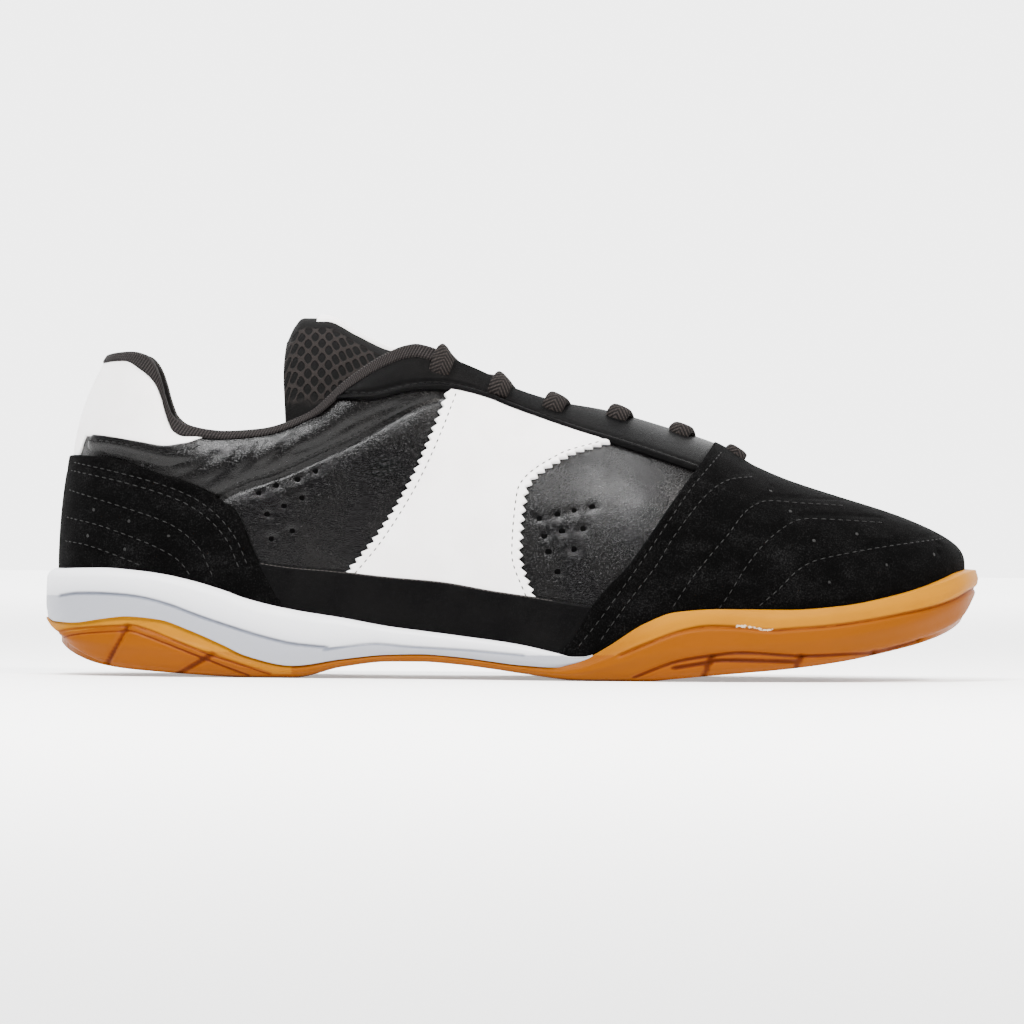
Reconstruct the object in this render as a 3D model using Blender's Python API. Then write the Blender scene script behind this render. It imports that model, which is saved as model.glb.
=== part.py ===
"""An indoor soccer shoe for the right foot, piece by piece as it is sewn and cemented.

The shoe points along +X with its lateral side at -Y, and it stands on the plane Z = 0.
"""

import math
from collections import namedtuple

import bpy
import bmesh
import numpy as np

# Overall sizes, in metres
LENGTH = 0.285
BALL_WIDTH = 0.0975
SOLE_HEIGHT = 0.0325
UPPER_RISE = 0.068

# Walls, plies and clearances, in metres
GAP = 0.0003
PLY_GAP = 0.00055
LACE_GAP = 0.0014
UPPER_WALL = 0.0022
COLLAR_PADDING = 0.0026
PLY = 0.0012
CUP_WALL = 0.0053
RIM_WALL = 0.0030
TREAD_PLATE = 0.0035
EDGE_ROUND = 0.0045
LUG_DEPTH = 0.0014
LUG_GROOVE = 0.0018
INSOLE_THICKNESS = 0.0035
BINDING_PLY = 0.0008
BINDING_WIDTH = 0.0034
TONGUE_THICKNESS = 0.0034
TONGUE_CLEARANCE = 0.0020
TONGUE_SEAM = 0.0004
LACE_WIDTH = 0.0060
LACE_THICKNESS = 0.0016
EYELET_SETBACK = 0.0040
SADDLE_MARGIN = 0.0009
PLATE_STEP = 0.0003
INSOLE_DRAFT = 0.0002

# Places along the shoe, as shares of LENGTH
HEEL_CENTRE = 0.126
TOE_CENTRE = 0.853
MIDSOLE_FRONT = 0.570
THROAT_FRONT = 0.762
COLLAR_FRONT = 0.400
PADDING_START = 0.300
PADDING_END = 0.420
TONGUE_FREE = 0.360
TONGUE_HELD = 0.450
CUP_START = 0.5725
CUP_WHOLE = 0.5775
FLAT_SPOTS = [0.2180, 0.2680, 0.5750, 0.6400]

LATERAL = -1
MEDIAL = 1

# The sole's outline from above: x is a share of LENGTH, the widths are shares of BALL_WIDTH
Outline = namedtuple("Outline", "x lateral medial")
OUTLINE = [
    Outline(0.000, 0.000, 0.000),
    Outline(0.012, 0.130, 0.125),
    Outline(0.040, 0.228, 0.222),
    Outline(0.090, 0.308, 0.305),
    Outline(0.150, 0.350, 0.353),
    Outline(0.210, 0.368, 0.364),
    Outline(0.270, 0.372, 0.346),
    Outline(0.340, 0.376, 0.312),
    Outline(0.410, 0.394, 0.294),
    Outline(0.480, 0.432, 0.315),
    Outline(0.550, 0.478, 0.375),
    Outline(0.610, 0.505, 0.430),
    Outline(0.660, 0.513, 0.466),
    Outline(0.720, 0.500, 0.488),
    Outline(0.780, 0.462, 0.492),
    Outline(0.840, 0.415, 0.474),
    Outline(0.895, 0.338, 0.436),
    Outline(0.940, 0.248, 0.380),
    Outline(0.975, 0.130, 0.298),
    Outline(0.993, 0.020, 0.200),
    Outline(1.000, -0.090, 0.090),
]

# The sole from the side: heights are shares of SOLE_HEIGHT above the floor.
# tread is the walking face, gum the top edge of the rubber, wall the top edge of the
# sole, bed the face that the upper and the insole lie on.
Side = namedtuple("Side", "x tread gum wall bed")
SOLE_SIDE = [
    Side(0.000, 0.520, 0.545, 0.990, 0.560),
    Side(0.008, 0.400, 0.510, 0.990, 0.560),
    Side(0.028, 0.229, 0.500, 0.996, 0.555),
    Side(0.060, 0.115, 0.538, 1.000, 0.545),
    Side(0.090, 0.071, 0.565, 0.985, 0.535),
    Side(0.125, 0.046, 0.540, 0.953, 0.525),
    Side(0.160, 0.026, 0.437, 0.890, 0.505),
    Side(0.195, 0.008, 0.305, 0.800, 0.475),
    Side(0.218, 0.000, 0.212, 0.728, 0.445),
    Side(0.268, 0.000, 0.121, 0.626, 0.388),
    Side(0.320, 0.105, 0.185, 0.555, 0.348),
    Side(0.370, 0.158, 0.231, 0.478, 0.320),
    Side(0.405, 0.160, 0.238, 0.440, 0.300),
    Side(0.440, 0.140, 0.218, 0.403, 0.268),
    Side(0.510, 0.063, 0.147, 0.320, 0.208),
    Side(0.545, 0.020, 0.130, 0.252, 0.168),
    Side(0.565, 0.002, 0.158, 0.214, 0.156),
    Side(0.575, 0.000, 0.188, 0.216, 0.153),
    Side(0.600, 0.000, 0.308, 0.308, 0.152),
    Side(0.640, 0.000, 0.532, 0.532, 0.157),
    Side(0.672, 0.025, 0.637, 0.637, 0.172),
    Side(0.720, 0.065, 0.668, 0.668, 0.208),
    Side(0.790, 0.120, 0.665, 0.665, 0.268),
    Side(0.850, 0.194, 0.705, 0.705, 0.340),
    Side(0.900, 0.286, 0.782, 0.782, 0.430),
    Side(0.940, 0.378, 0.868, 0.868, 0.530),
    Side(0.970, 0.486, 0.957, 0.957, 0.630),
    Side(0.985, 0.585, 1.010, 1.010, 0.690),
    Side(1.000, 0.800, 1.045, 1.045, 0.740),
]

# The upper's top line from the side, over collar, throat and toes: height is a share of
# UPPER_RISE above SOLE_HEIGHT
TopLine = namedtuple("TopLine", "x height")
TOP_LINE = [
    TopLine(0.058, 0.925),
    TopLine(0.068, 0.960),
    TopLine(0.090, 0.970),
    TopLine(0.107, 0.955),
    TopLine(0.117, 0.916),
    TopLine(0.124, 0.855),
    TopLine(0.130, 0.765),
    TopLine(0.137, 0.690),
    TopLine(0.150, 0.650),
    TopLine(0.190, 0.622),
    TopLine(0.230, 0.634),
    TopLine(0.281, 0.707),
    TopLine(0.324, 0.860),
    TopLine(0.366, 0.972),
    TopLine(0.385, 1.000),
    TopLine(0.405, 0.985),
    TopLine(0.431, 0.944),
    TopLine(0.470, 0.874),
    TopLine(0.500, 0.808),
    TopLine(0.550, 0.744),
    TopLine(0.596, 0.710),
    TopLine(0.662, 0.635),
    TopLine(0.723, 0.552),
    TopLine(0.758, 0.481),
    TopLine(0.791, 0.422),
    TopLine(0.850, 0.342),
    TopLine(0.912, 0.265),
    TopLine(0.942, 0.226),
    TopLine(1.000, 0.150),
]

# Cross sections of the upper: opening is the half-width of collar or throat as a share of
# the half-width at the sole, roundness the exponent of the section's superellipse,
# ridge the sideways place of the top line as a share of BALL_WIDTH
Section = namedtuple("Section", "x opening roundness ridge")
SECTIONS = [
    Section(0.000, 0.560, 2.00, 0.000),
    Section(0.040, 0.610, 2.00, 0.000),
    Section(0.080, 0.700, 2.05, 0.000),
    Section(0.126, 0.770, 2.10, 0.000),
    Section(0.190, 0.810, 2.20, 0.000),
    Section(0.260, 0.820, 2.25, 0.000),
    Section(0.320, 0.790, 2.25, 0.000),
    Section(0.365, 0.690, 2.20, 0.000),
    Section(0.410, 0.570, 2.15, 0.000),
    Section(0.470, 0.440, 2.15, 0.010),
    Section(0.550, 0.350, 2.20, 0.022),
    Section(0.630, 0.280, 2.30, 0.034),
    Section(0.700, 0.225, 2.40, 0.042),
    Section(0.737, 0.180, 2.45, 0.046),
    Section(0.753, 0.120, 2.50, 0.047),
    Section(0.762, 0.000, 2.50, 0.048),
    Section(0.853, 0.000, 2.70, 0.050),
    Section(0.930, 0.000, 3.20, 0.050),
    Section(1.000, 0.000, 3.60, 0.050),
]

# Edges of the overlays from the side: height is a share of UPPER_RISE above SOLE_HEIGHT
Edge = namedtuple("Edge", "x height")
COUNTER_TOP = [
    Edge(0.000, 0.506),
    Edge(0.047, 0.497),
    Edge(0.115, 0.431),
    Edge(0.172, 0.350),
    Edge(0.203, 0.279),
    Edge(0.216, 0.188),
    Edge(0.233, 0.025),
    Edge(0.244, -0.057),
    Edge(0.252, -0.115),
]
TOE_CAP_TOP = [
    Edge(0.552, -0.340),
    Edge(0.563, -0.290),
    Edge(0.585, -0.141),
    Edge(0.627, 0.059),
    Edge(0.653, 0.215),
    Edge(0.672, 0.332),
    Edge(0.697, 0.463),
    Edge(0.714, 0.550),
    Edge(0.723, 0.600),
]
BAND_TOP = [
    Edge(0.225, 0.040),
    Edge(0.266, 0.016),
    Edge(0.368, -0.024),
    Edge(0.479, -0.081),
    Edge(0.534, -0.113),
    Edge(0.590, -0.150),
]
EYESTAY_BOTTOM = [
    Edge(0.302, 0.744),
    Edge(0.349, 0.754),
    Edge(0.388, 0.791),
    Edge(0.430, 0.801),
    Edge(0.472, 0.759),
    Edge(0.515, 0.690),
    Edge(0.567, 0.615),
    Edge(0.615, 0.556),
    Edge(0.679, 0.468),
]
TAB_BOTTOM = [
    Edge(0.000, 0.598),
    Edge(0.080, 0.585),
    Edge(0.133, 0.537),
    Edge(0.160, 0.545),
]

# The saddle's rear and front edges from the side: x is a share of LENGTH, height as above
SaddleEdge = namedtuple("SaddleEdge", "height rear front")
SADDLE = [
    SaddleEdge(-0.020, 0.318, 0.528),
    SaddleEdge(0.110, 0.352, 0.511),
    SaddleEdge(0.290, 0.392, 0.516),
    SaddleEdge(0.440, 0.416, 0.560),
    SaddleEdge(0.530, 0.428, 0.610),
]

# The tongue from the side: ridge is a share of UPPER_RISE above SOLE_HEIGHT, depth is how
# far its wings reach below the collar line, as a share of UPPER_RISE
TongueSection = namedtuple("TongueSection", "x ridge depth")
TONGUE = [
    TongueSection(0.259, 1.010, 0.16),
    TongueSection(0.264, 1.075, 0.17),
    TongueSection(0.274, 1.118, 0.18),
    TongueSection(0.298, 1.118, 0.20),
    TongueSection(0.332, 1.050, 0.24),
    TongueSection(0.364, 0.985, 0.26),
    TongueSection(0.400, 0.955, 0.26),
    TongueSection(0.431, 0.915, 0.22),
]

# Profile of the gum wall and of the midsole wall: height is a share of the wall's own
# height, inset a share of EDGE_ROUND
Profile = namedtuple("Profile", "height inset")
GUM_PROFILE = [
    Profile(0.00, 1.00),
    Profile(0.10, 0.46),
    Profile(0.27, 0.21),
    Profile(0.48, 0.00),
    Profile(0.67, 0.03),
    Profile(0.71, 0.17),
    Profile(1.00, 0.33),
]
FOAM_PROFILE = [
    Profile(0.00, 0.12),
    Profile(0.39, 0.00),
    Profile(0.42, 0.10),
    Profile(0.46, 0.01),
    Profile(0.82, 0.04),
    Profile(1.00, 0.45),
]

# Cross grooves between the tread's main lugs, and the lace's eyelets, as shares of LENGTH
LUG_GROOVES = [0.158, 0.298, 0.703, 0.752, 0.800]
EYELETS = [0.419, 0.481, 0.540, 0.608, 0.675, 0.735]

# Stations of each piece between heel and toe, as shares of LENGTH. The sewn pieces keep to
# the upper's own stations wherever they can, so that they lie on it evenly.
UPPER_PLACES = [0.1262, 0.1300, 0.1340, 0.1400, 0.1500, 0.1680, 0.1950, 0.2250, 0.2540]
UPPER_PLACES += [0.2810, 0.3030, 0.3240, 0.3450, 0.3660, 0.3850, 0.4000, 0.4180, 0.4400]
UPPER_PLACES += [0.4700, 0.5000, 0.5350, 0.5750, 0.6200, 0.6400, 0.6600, 0.6800, 0.7000]
UPPER_PLACES += [0.7230, 0.7370, 0.7470, 0.7550, 0.7620, 0.7850, 0.8150, 0.8530]
COUNTER_PLACES = [0.1262, 0.1500, 0.1680, 0.1950, 0.2070, 0.2160, 0.2250, 0.2370, 0.2460]
TAB_PLACES = [0.1262, 0.1300, 0.1340, 0.1400, 0.1500, 0.1560]
BAND_PLACES = [0.2540, 0.2810, 0.3240, 0.3660, 0.4180, 0.4700, 0.5000, 0.5350, 0.5560]
EYESTAY_PLACES = [0.3370, 0.3450, 0.3660, 0.3850, 0.4000, 0.4180, 0.4400, 0.4700, 0.5000]
EYESTAY_PLACES += [0.5350, 0.5750, 0.6200, 0.6400, 0.6600, 0.6790]
TOE_PLACES = [0.5750, 0.5900, 0.6050, 0.6200, 0.6400, 0.6600, 0.6800, 0.7000, 0.7140]
TOE_PLACES += [0.7230, 0.7370, 0.7470, 0.7550, 0.7620, 0.7850, 0.8150, 0.8530]
TREAD_PLACES = [0.126, 0.180, 0.198, 0.243, 0.325, 0.365, 0.420, 0.480]
TREAD_PLACES += [0.525, 0.550, 0.600, 0.672, 0.730, 0.775, 0.830]
FOAM_PLACES = [0.126, 0.140, 0.158, 0.180, 0.198, 0.218, 0.243, 0.268, 0.300, 0.335]
FOAM_PLACES += [0.375, 0.420, 0.480, 0.525, 0.550, MIDSOLE_FRONT]
INSOLE_PLACES = [0.126, 0.160, 0.200, 0.250, 0.300, 0.350, 0.400, 0.450, 0.500, 0.545]
INSOLE_PLACES += [0.590, 0.640, 0.690, 0.740, 0.790, 0.853]
TONGUE_PLACES = [0.259, 0.264, 0.274, 0.290, 0.310, 0.332, 0.354, 0.378, 0.404, 0.431]
TONGUE_PLACES += [0.465, 0.505, 0.550, 0.600, 0.650, 0.700, 0.740]

# How finely each piece is divided
SHELL_ROWS = 7
SADDLE_ROWS = 9
SADDLE_COLUMNS = 7
TONGUE_HALF = 5
LACE_STEPS = 9


def smooth_table(rows, column):
    """A function through one column of a table, level wherever two rows agree."""
    at = np.array([row.x for row in rows])
    value = np.array([getattr(row, column) for row in rows])
    step = np.diff(at)
    slope = np.diff(value) / step
    tangent = np.zeros(len(at))
    tangent[0], tangent[-1] = slope[0], slope[-1]
    for i in range(1, len(at) - 1):
        if slope[i - 1] * slope[i] > 0:
            before = 2 * step[i] + step[i - 1]
            after = step[i] + 2 * step[i - 1]
            tangent[i] = (before + after) / (before / slope[i - 1] + after / slope[i])

    def read(x):
        x = np.clip(x, at[0], at[-1])
        i = np.clip(np.searchsorted(at, x, side="right") - 1, 0, len(step) - 1)
        t = (x - at[i]) / step[i]
        rise = (1 + 2 * t) * (1 - t) ** 2 * value[i] + t * t * (3 - 2 * t) * value[i + 1]
        bend = t * (1 - t) ** 2 * tangent[i] - t * t * (1 - t) * tangent[i + 1]
        return rise + step[i] * bend

    return read


def outline_loop(steps=14):
    """The sole's outline as a closed smooth curve from the heel round the lateral side."""
    lateral = [(row.x * LENGTH, -row.lateral * BALL_WIDTH) for row in OUTLINE]
    medial = [(row.x * LENGTH, row.medial * BALL_WIDTH) for row in OUTLINE[1:-1]]
    knots = np.array(lateral + medial[::-1])
    points = []
    for i in range(len(knots)):
        a, b, c, d = (knots[(i + k) % len(knots)] for k in (-1, 0, 1, 2))
        for t in np.arange(steps) / steps:
            linear = (c - a) * t
            square = (2 * a - 5 * b + 4 * c - d) * t**2
            cube = (3 * b - a - 3 * c + d) * t**3
            points.append(b + 0.5 * (linear + square + cube))
    return np.array(points)


OUTLINE_LOOP = outline_loop()
TREAD = smooth_table(SOLE_SIDE, "tread")
GUM = smooth_table(SOLE_SIDE, "gum")
WALL = smooth_table(SOLE_SIDE, "wall")
BED = smooth_table(SOLE_SIDE, "bed")
TOP = smooth_table(TOP_LINE, "height")
OPENING = smooth_table(SECTIONS, "opening")
ROUNDNESS = smooth_table(SECTIONS, "roundness")
RIDGE = smooth_table(SECTIONS, "ridge")


def tread_height(x):
    return SOLE_HEIGHT * TREAD(x / LENGTH)


def gum_height(x):
    return SOLE_HEIGHT * GUM(x / LENGTH)


def wall_height(x):
    return SOLE_HEIGHT * WALL(x / LENGTH)


def bed_height(x):
    return SOLE_HEIGHT * BED(x / LENGTH)


def upper_height(share):
    return SOLE_HEIGHT + UPPER_RISE * share


def ridge_place(x):
    return BALL_WIDTH * RIDGE(x / LENGTH)


def fade(x, start, end):
    """0 before start, 1 after end, with a soft change between them."""
    t = np.clip((x - start) / (end - start), 0, 1)
    return t * t * (3 - 2 * t)


def shell_top(x):
    """The upper's own top line: under the binding at the collar, under the cap at the toe."""
    share = x / LENGTH
    binding = (BINDING_PLY + GAP) * (1 - fade(share, COLLAR_FRONT - 0.02, COLLAR_FRONT))
    cap = (PLY + GAP) * fade(share, THROAT_FRONT - 0.05, THROAT_FRONT)
    return upper_height(TOP(share)) - binding - cap


# A station is a place round the shoe: a spot on the spine, a way out to the sole's edge,
# and how far off that edge is. Heel and toe stations fan out round one centre each.
Stations = namedtuple("Stations", "spine way reach edge")


def stations(section_places, side, heel_fan, toe_fan):
    """Stations along one side of the shoe, from heel to toe, for the given shares of LENGTH."""
    spine = []
    way = []
    for angle in heel_fan:
        spine.append((HEEL_CENTRE * LENGTH, ridge_place(HEEL_CENTRE * LENGTH)))
        way.append((-math.cos(angle), side * math.sin(angle)))
    for share in section_places:
        spine.append((share * LENGTH, ridge_place(share * LENGTH)))
        way.append((0.0, side))
    for angle in toe_fan:
        spine.append((TOE_CENTRE * LENGTH, ridge_place(TOE_CENTRE * LENGTH)))
        way.append((math.cos(angle), side * math.sin(angle)))
    spine, way = np.array(spine), np.array(way)
    reach = np.array([edge_distance(a, b) for a, b in zip(spine, way)])
    return Stations(spine, way, reach, spine + way * reach[:, None])


def edge_distance(spot, way):
    """How far the sole's outline is from a spot, along a way out."""
    start = OUTLINE_LOOP - spot
    span = np.roll(start, -1, axis=0) - start
    across = span[:, 0] * way[1] - span[:, 1] * way[0]
    across = np.where(np.abs(across) < 1e-15, 1e-15, across)
    along = (start[:, 1] * way[0] - start[:, 0] * way[1]) / across
    distance = (span[:, 0] * start[:, 1] - span[:, 1] * start[:, 0]) / across
    return np.abs(distance[(along >= 0) & (along < 1) & (distance > 0)]).max()


def fan(count):
    """Angles from straight back to nearly square, without the last."""
    return np.arange(count) * (math.pi / 2) / count


def half_ring(places, side, heel=7, toe=8, whole=True):
    """Stations of one side: with the fans where the piece goes round heel and toe."""
    toe_angles = fan(toe)[::-1] if whole else []
    return stations(places, side, fan(heel), toe_angles)


def joined(lateral, medial):
    """A closed ring of stations: out along the lateral side and back along the medial."""
    return Stations(*(np.concatenate([a, b[-2:0:-1]]) for a, b in zip(lateral, medial)))


def material(name, colour, roughness):
    finish = bpy.data.materials.new(name)
    finish.use_nodes = True
    shader = finish.node_tree.nodes["Principled BSDF"]
    shader.inputs["Base Color"].default_value = (*colour, 1.0)
    shader.inputs["Roughness"].default_value = roughness
    shader.inputs["Metallic"].default_value = 0.0
    return finish


def solid(name, points, faces, finish, smooth_angle=40):
    """One closed piece from its points and faces, with doubles merged and faces turned out."""
    mesh = bpy.data.meshes.new(name)
    mesh.from_pydata([tuple(p) for p in points], [], [tuple(f) for f in faces])
    work = bmesh.new()
    work.from_mesh(mesh)
    bmesh.ops.remove_doubles(work, verts=work.verts, dist=2e-6)
    bmesh.ops.dissolve_degenerate(work, edges=work.edges, dist=1e-7)
    bmesh.ops.recalc_face_normals(work, faces=work.faces)
    work.to_mesh(mesh)
    work.free()
    mesh.shade_smooth()
    mesh.set_sharp_from_angle(angle=math.radians(smooth_angle))
    mesh.materials.append(finish)
    piece = bpy.data.objects.new(name, mesh)
    bpy.context.scene.collection.objects.link(piece)
    return piece


def strip_faces(a, b, wrap=False):
    """Quads between two rows of point numbers."""
    last = len(a) if wrap else len(a) - 1
    n = len(a)
    return [(a[i], a[(i + 1) % n], b[(i + 1) % n], b[i]) for i in range(last)]


def skin_solid(name, outer, inner, finish, wrap=False, sealed=None):
    """A sheet with thickness: outer and inner are grids of points, one row per station.

    sealed marks stations whose last points meet those of the other side, so that the
    sheet has no edge there.
    """
    count, rows = outer.shape[:2]
    points = np.concatenate([outer.reshape(-1, 3), inner.reshape(-1, 3)])
    out = np.arange(count * rows).reshape(count, rows)
    into = out + count * rows
    faces = []
    for j in range(rows - 1):
        faces += strip_faces(out[:, j], out[:, j + 1], wrap)
        faces += strip_faces(into[:, j], into[:, j + 1], wrap)
    faces += strip_faces(out[:, 0], into[:, 0], wrap)
    top = strip_faces(out[:, -1], into[:, -1], wrap)
    if sealed is None:
        faces += top
    else:
        faces += [f for i, f in enumerate(top) if not (sealed[i] and sealed[(i + 1) % count])]
    if not wrap:
        for i in (0, -1):
            faces += strip_faces(out[i], into[i])
    return solid(name, points, faces, finish)


# The upper's own function: every sewn piece is a sheet at some distance from it


def upper_frame(ring):
    """What the upper's sections need at each station: foot, exponent, opening, half-width."""
    share = np.clip(ring.edge[:, 0] / LENGTH, 0, 1)
    in_heel = ring.way[:, 0] < 0
    in_toe = ring.way[:, 0] > 0
    share = np.where(~(in_heel | in_toe), ring.spine[:, 0] / LENGTH, share)
    foot = wall_height(share * LENGTH)
    exponent = ROUNDNESS(share)
    opening = OPENING(share)
    half = ring.reach - CUP_WALL - GAP
    rim_x = ring.spine[:, 0] + ring.way[:, 0] * half * opening
    rise = (shell_top(rim_x) - foot) / (1 - opening**exponent) ** (1 / exponent)
    return foot, exponent, opening, half, rise, in_toe


def upper_point(ring, turn, offset):
    """Points of the upper at each station, turned up from the sole by some angle.

    turn and offset are grids with a row for each station; offset is outwards.
    """
    foot, exponent, opening, half, rise, in_toe = (v[:, None] for v in upper_frame(ring))
    out = np.cos(turn) ** (2 / exponent)
    up = np.sin(turn) ** (2 / exponent)
    x = ring.spine[:, :1] + ring.way[:, :1] * half * out
    rise = np.where(in_toe, shell_top(x) - foot, rise)
    normal_out = out ** (exponent - 1) / half
    normal_up = up ** (exponent - 1) / rise
    size = np.hypot(normal_out, normal_up)
    away = half * out + offset * normal_out / size
    z = foot + rise * up + offset * normal_up / size
    plan = ring.spine[:, None, :] + ring.way[:, None, :] * away[:, :, None]
    return np.concatenate([plan, z[:, :, None]], axis=2)


def rim_turn(ring):
    foot, exponent, opening, half, rise, in_toe = upper_frame(ring)
    return np.arccos(np.clip(opening, 0, 1) ** (exponent / 2))


def height_turn(ring, height):
    """The angle at which each station of the upper reaches a height above the floor."""
    foot, exponent, opening, half, rise, in_toe = upper_frame(ring)
    up = np.clip((height - foot) / rise, 0.004, 0.999)
    return np.minimum(np.arcsin(up ** (exponent / 2)), rim_turn(ring))


def shell_rows(ring):
    """The angles of the shell's own rows at each station."""
    return rim_turn(ring)[:, None] * np.linspace(0, 1, SHELL_ROWS)[None, :]


def collar_share(share):
    """1 where the collar is padded, 0 along the throat."""
    return 1 - fade(share, PADDING_START, PADDING_END)


def rim_places(ring):
    """Where the collar's or throat's edge of each station is, along the shoe."""
    foot, exponent, opening, half, rise, in_toe = upper_frame(ring)
    return ring.spine[:, 0] + ring.way[:, 0] * half * opening


def overlay(name, ring, low, high, finish, sealed=None):
    """A ply laid on the shell's own rows, between two angles at each station."""
    turn = np.clip(shell_rows(ring), low[:, None], high[:, None])
    near = upper_point(ring, turn, np.full(turn.shape, PLY_GAP))
    far = upper_point(ring, turn, np.full(turn.shape, PLY_GAP + PLY))
    return skin_solid(name, far, near, finish, sealed=sealed)


def one_side(places, side):
    """Stations of one side, in the order in which they follow each other round the shell."""
    ring = stations(places, side, [], [])
    if side == LATERAL:
        return ring
    return Stations(*(rows[::-1] for rows in ring))


def padding(share):
    """The collar's padding inside the wall, from the sole at 0 to the edge at 1."""
    return COLLAR_PADDING * np.sin(math.pi * np.clip((share - 0.35) / 0.75, 0, 1))


def build_upper(finish):
    ring = joined(half_ring(UPPER_PLACES, LATERAL), half_ring(UPPER_PLACES, MEDIAL))
    turn = shell_rows(ring)
    outer = upper_point(ring, turn, np.zeros(turn.shape))
    share = np.linspace(0, 1, SHELL_ROWS)[None, :]
    collar = collar_share(ring.spine[:, 0] / LENGTH)
    inner = upper_point(ring, turn, -UPPER_WALL - collar[:, None] * padding(share))
    margin = []
    for skin in (outer, inner):
        low = skin[:, 0].copy()
        low[:, 2] = bed_height(low[:, 0]) + GAP
        margin.append(np.concatenate([low[:, None], skin], axis=1))
    sealed = ring.spine[:, 0] / LENGTH >= THROAT_FRONT - 1e-6
    return skin_solid("upper", margin[0], margin[1], finish, wrap=True, sealed=sealed)


def run_of(lateral, medial):
    """Stations from the medial end, round heel, to the lateral end."""
    return Stations(*(np.concatenate([b[:0:-1], a]) for a, b in zip(lateral, medial)))


def edge_height(table, x):
    return upper_height(smooth_table(table, "height")(x / LENGTH))


def station_x(ring):
    """Where each station stands along the shoe: at its edge in the fans."""
    return np.where(ring.way[:, 0] == 0, ring.spine[:, 0], ring.edge[:, 0])


def lip_turn(ring):
    """Just above the sole's top edge."""
    return height_turn(ring, wall_height(station_x(ring)) + 2 * GAP)


def heel_run(places):
    """Stations round the heel, up to the given places on both sides."""
    return run_of(*(half_ring(places, side, whole=False) for side in (LATERAL, MEDIAL)))


def build_heel_counter(finish):
    ring = heel_run(COUNTER_PLACES)
    high = height_turn(ring, edge_height(COUNTER_TOP, station_x(ring)))
    return overlay("heel_counter", ring, lip_turn(ring), high, finish)


def build_heel_tab(finish):
    ring = heel_run(TAB_PLACES)
    rim_x = rim_places(ring)
    low = height_turn(ring, edge_height(TAB_BOTTOM, rim_x))
    high = height_turn(ring, shell_top(rim_x) - BINDING_WIDTH - GAP)
    return overlay("heel_tab", ring, low, high, finish)


def build_side_band(name, side, finish):
    ring = one_side(BAND_PLACES, side)
    x = station_x(ring)
    low = lip_turn(ring)
    high = height_turn(ring, edge_height(BAND_TOP, x))
    return overlay(name, ring, low, high, finish)


def build_eyestay(name, side, finish):
    ring = one_side(EYESTAY_PLACES, side)
    x = station_x(ring)
    low = height_turn(ring, edge_height(EYESTAY_BOTTOM, x))
    rim = rim_turn(ring)
    bound = height_turn(ring, shell_top(x) - BINDING_WIDTH - GAP)
    high = np.where(x / LENGTH < COLLAR_FRONT + 0.015, bound, rim)
    return overlay(name, ring, low, high, finish)


def build_toe_cap(finish):
    halves = [stations(TOE_PLACES, side, [], fan(8)[:0:-1]) for side in (LATERAL, MEDIAL)]
    tip = stations([], LATERAL, [], [0.0])
    ring = Stations(
        *(np.concatenate([a, t, b[::-1]]) for a, t, b in zip(halves[0], tip, halves[1]))
    )
    top = edge_height(TOE_CAP_TOP, station_x(ring))
    tabs = station_x(ring) / LENGTH < TOE_CAP_TOP[-1].x - 0.0005
    high = np.where(tabs, height_turn(ring, top), rim_turn(ring))
    sealed = ring.spine[:, 0] / LENGTH >= THROAT_FRONT - 1e-6
    return overlay("toe_cap", ring, lip_turn(ring), high, finish, sealed=sealed)


def build_saddle(name, side, finish):
    """A white ply across the quarter, waisted between its rear and its front edge."""
    heights = np.linspace(SADDLE[0].height, SADDLE[-1].height, SADDLE_ROWS)
    rows = [Edge(row.height, row.rear) for row in SADDLE]
    rear = smooth_table(rows, "height")(heights)
    rows = [Edge(row.height, row.front) for row in SADDLE]
    front = smooth_table(rows, "height")(heights)
    near = np.zeros((SADDLE_ROWS, SADDLE_COLUMNS, 3))
    far = near.copy()
    for i, height in enumerate(heights):
        ring = stations(np.linspace(rear[i], front[i], SADDLE_COLUMNS), side, [], [])
        x = station_x(ring)
        low = edge_height(BAND_TOP, x) + SADDLE_MARGIN
        high = edge_height(EYESTAY_BOTTOM, x) - SADDLE_MARGIN
        share = (height - SADDLE[0].height) / (SADDLE[-1].height - SADDLE[0].height)
        turn = height_turn(ring, low + (high - low) * share)[:, None]
        near[i] = upper_point(ring, turn, np.full(turn.shape, PLY_GAP + GAP))[:, 0]
        far[i] = upper_point(ring, turn, np.full(turn.shape, PLY_GAP + GAP + PLY))[:, 0]
    return skin_solid(name, far, near, finish)


def build_binding(finish):
    """Tape folded over the collar's edge, outside, over the top and inside."""
    ring = heel_run([p for p in UPPER_PLACES if p <= COLLAR_FRONT])
    rim = rim_turn(ring)
    low = height_turn(ring, shell_top(rim_places(ring)) - BINDING_WIDTH)
    wall = UPPER_WALL + collar_share(ring.spine[:, 0] / LENGTH) * padding(1.0)
    sheets = []
    for reach in (GAP, GAP + BINDING_PLY):
        fold = []
        for turn, away in ((low, reach), (rim, reach), (rim, -wall - reach)):
            away = np.broadcast_to(away, rim.shape)
            fold.append(upper_point(ring, turn[:, None], away[:, None])[:, 0])
        deep = -wall - reach - 2 * GAP
        fold.append(upper_point(ring, low[:, None], deep[:, None])[:, 0])
        for k in (1, 2):
            fold[k] = fold[k] + np.array([0, 0, reach])
        sheets.append(np.stack(fold, axis=1))
    return skin_solid("collar_binding", sheets[1], sheets[0], finish)


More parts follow.
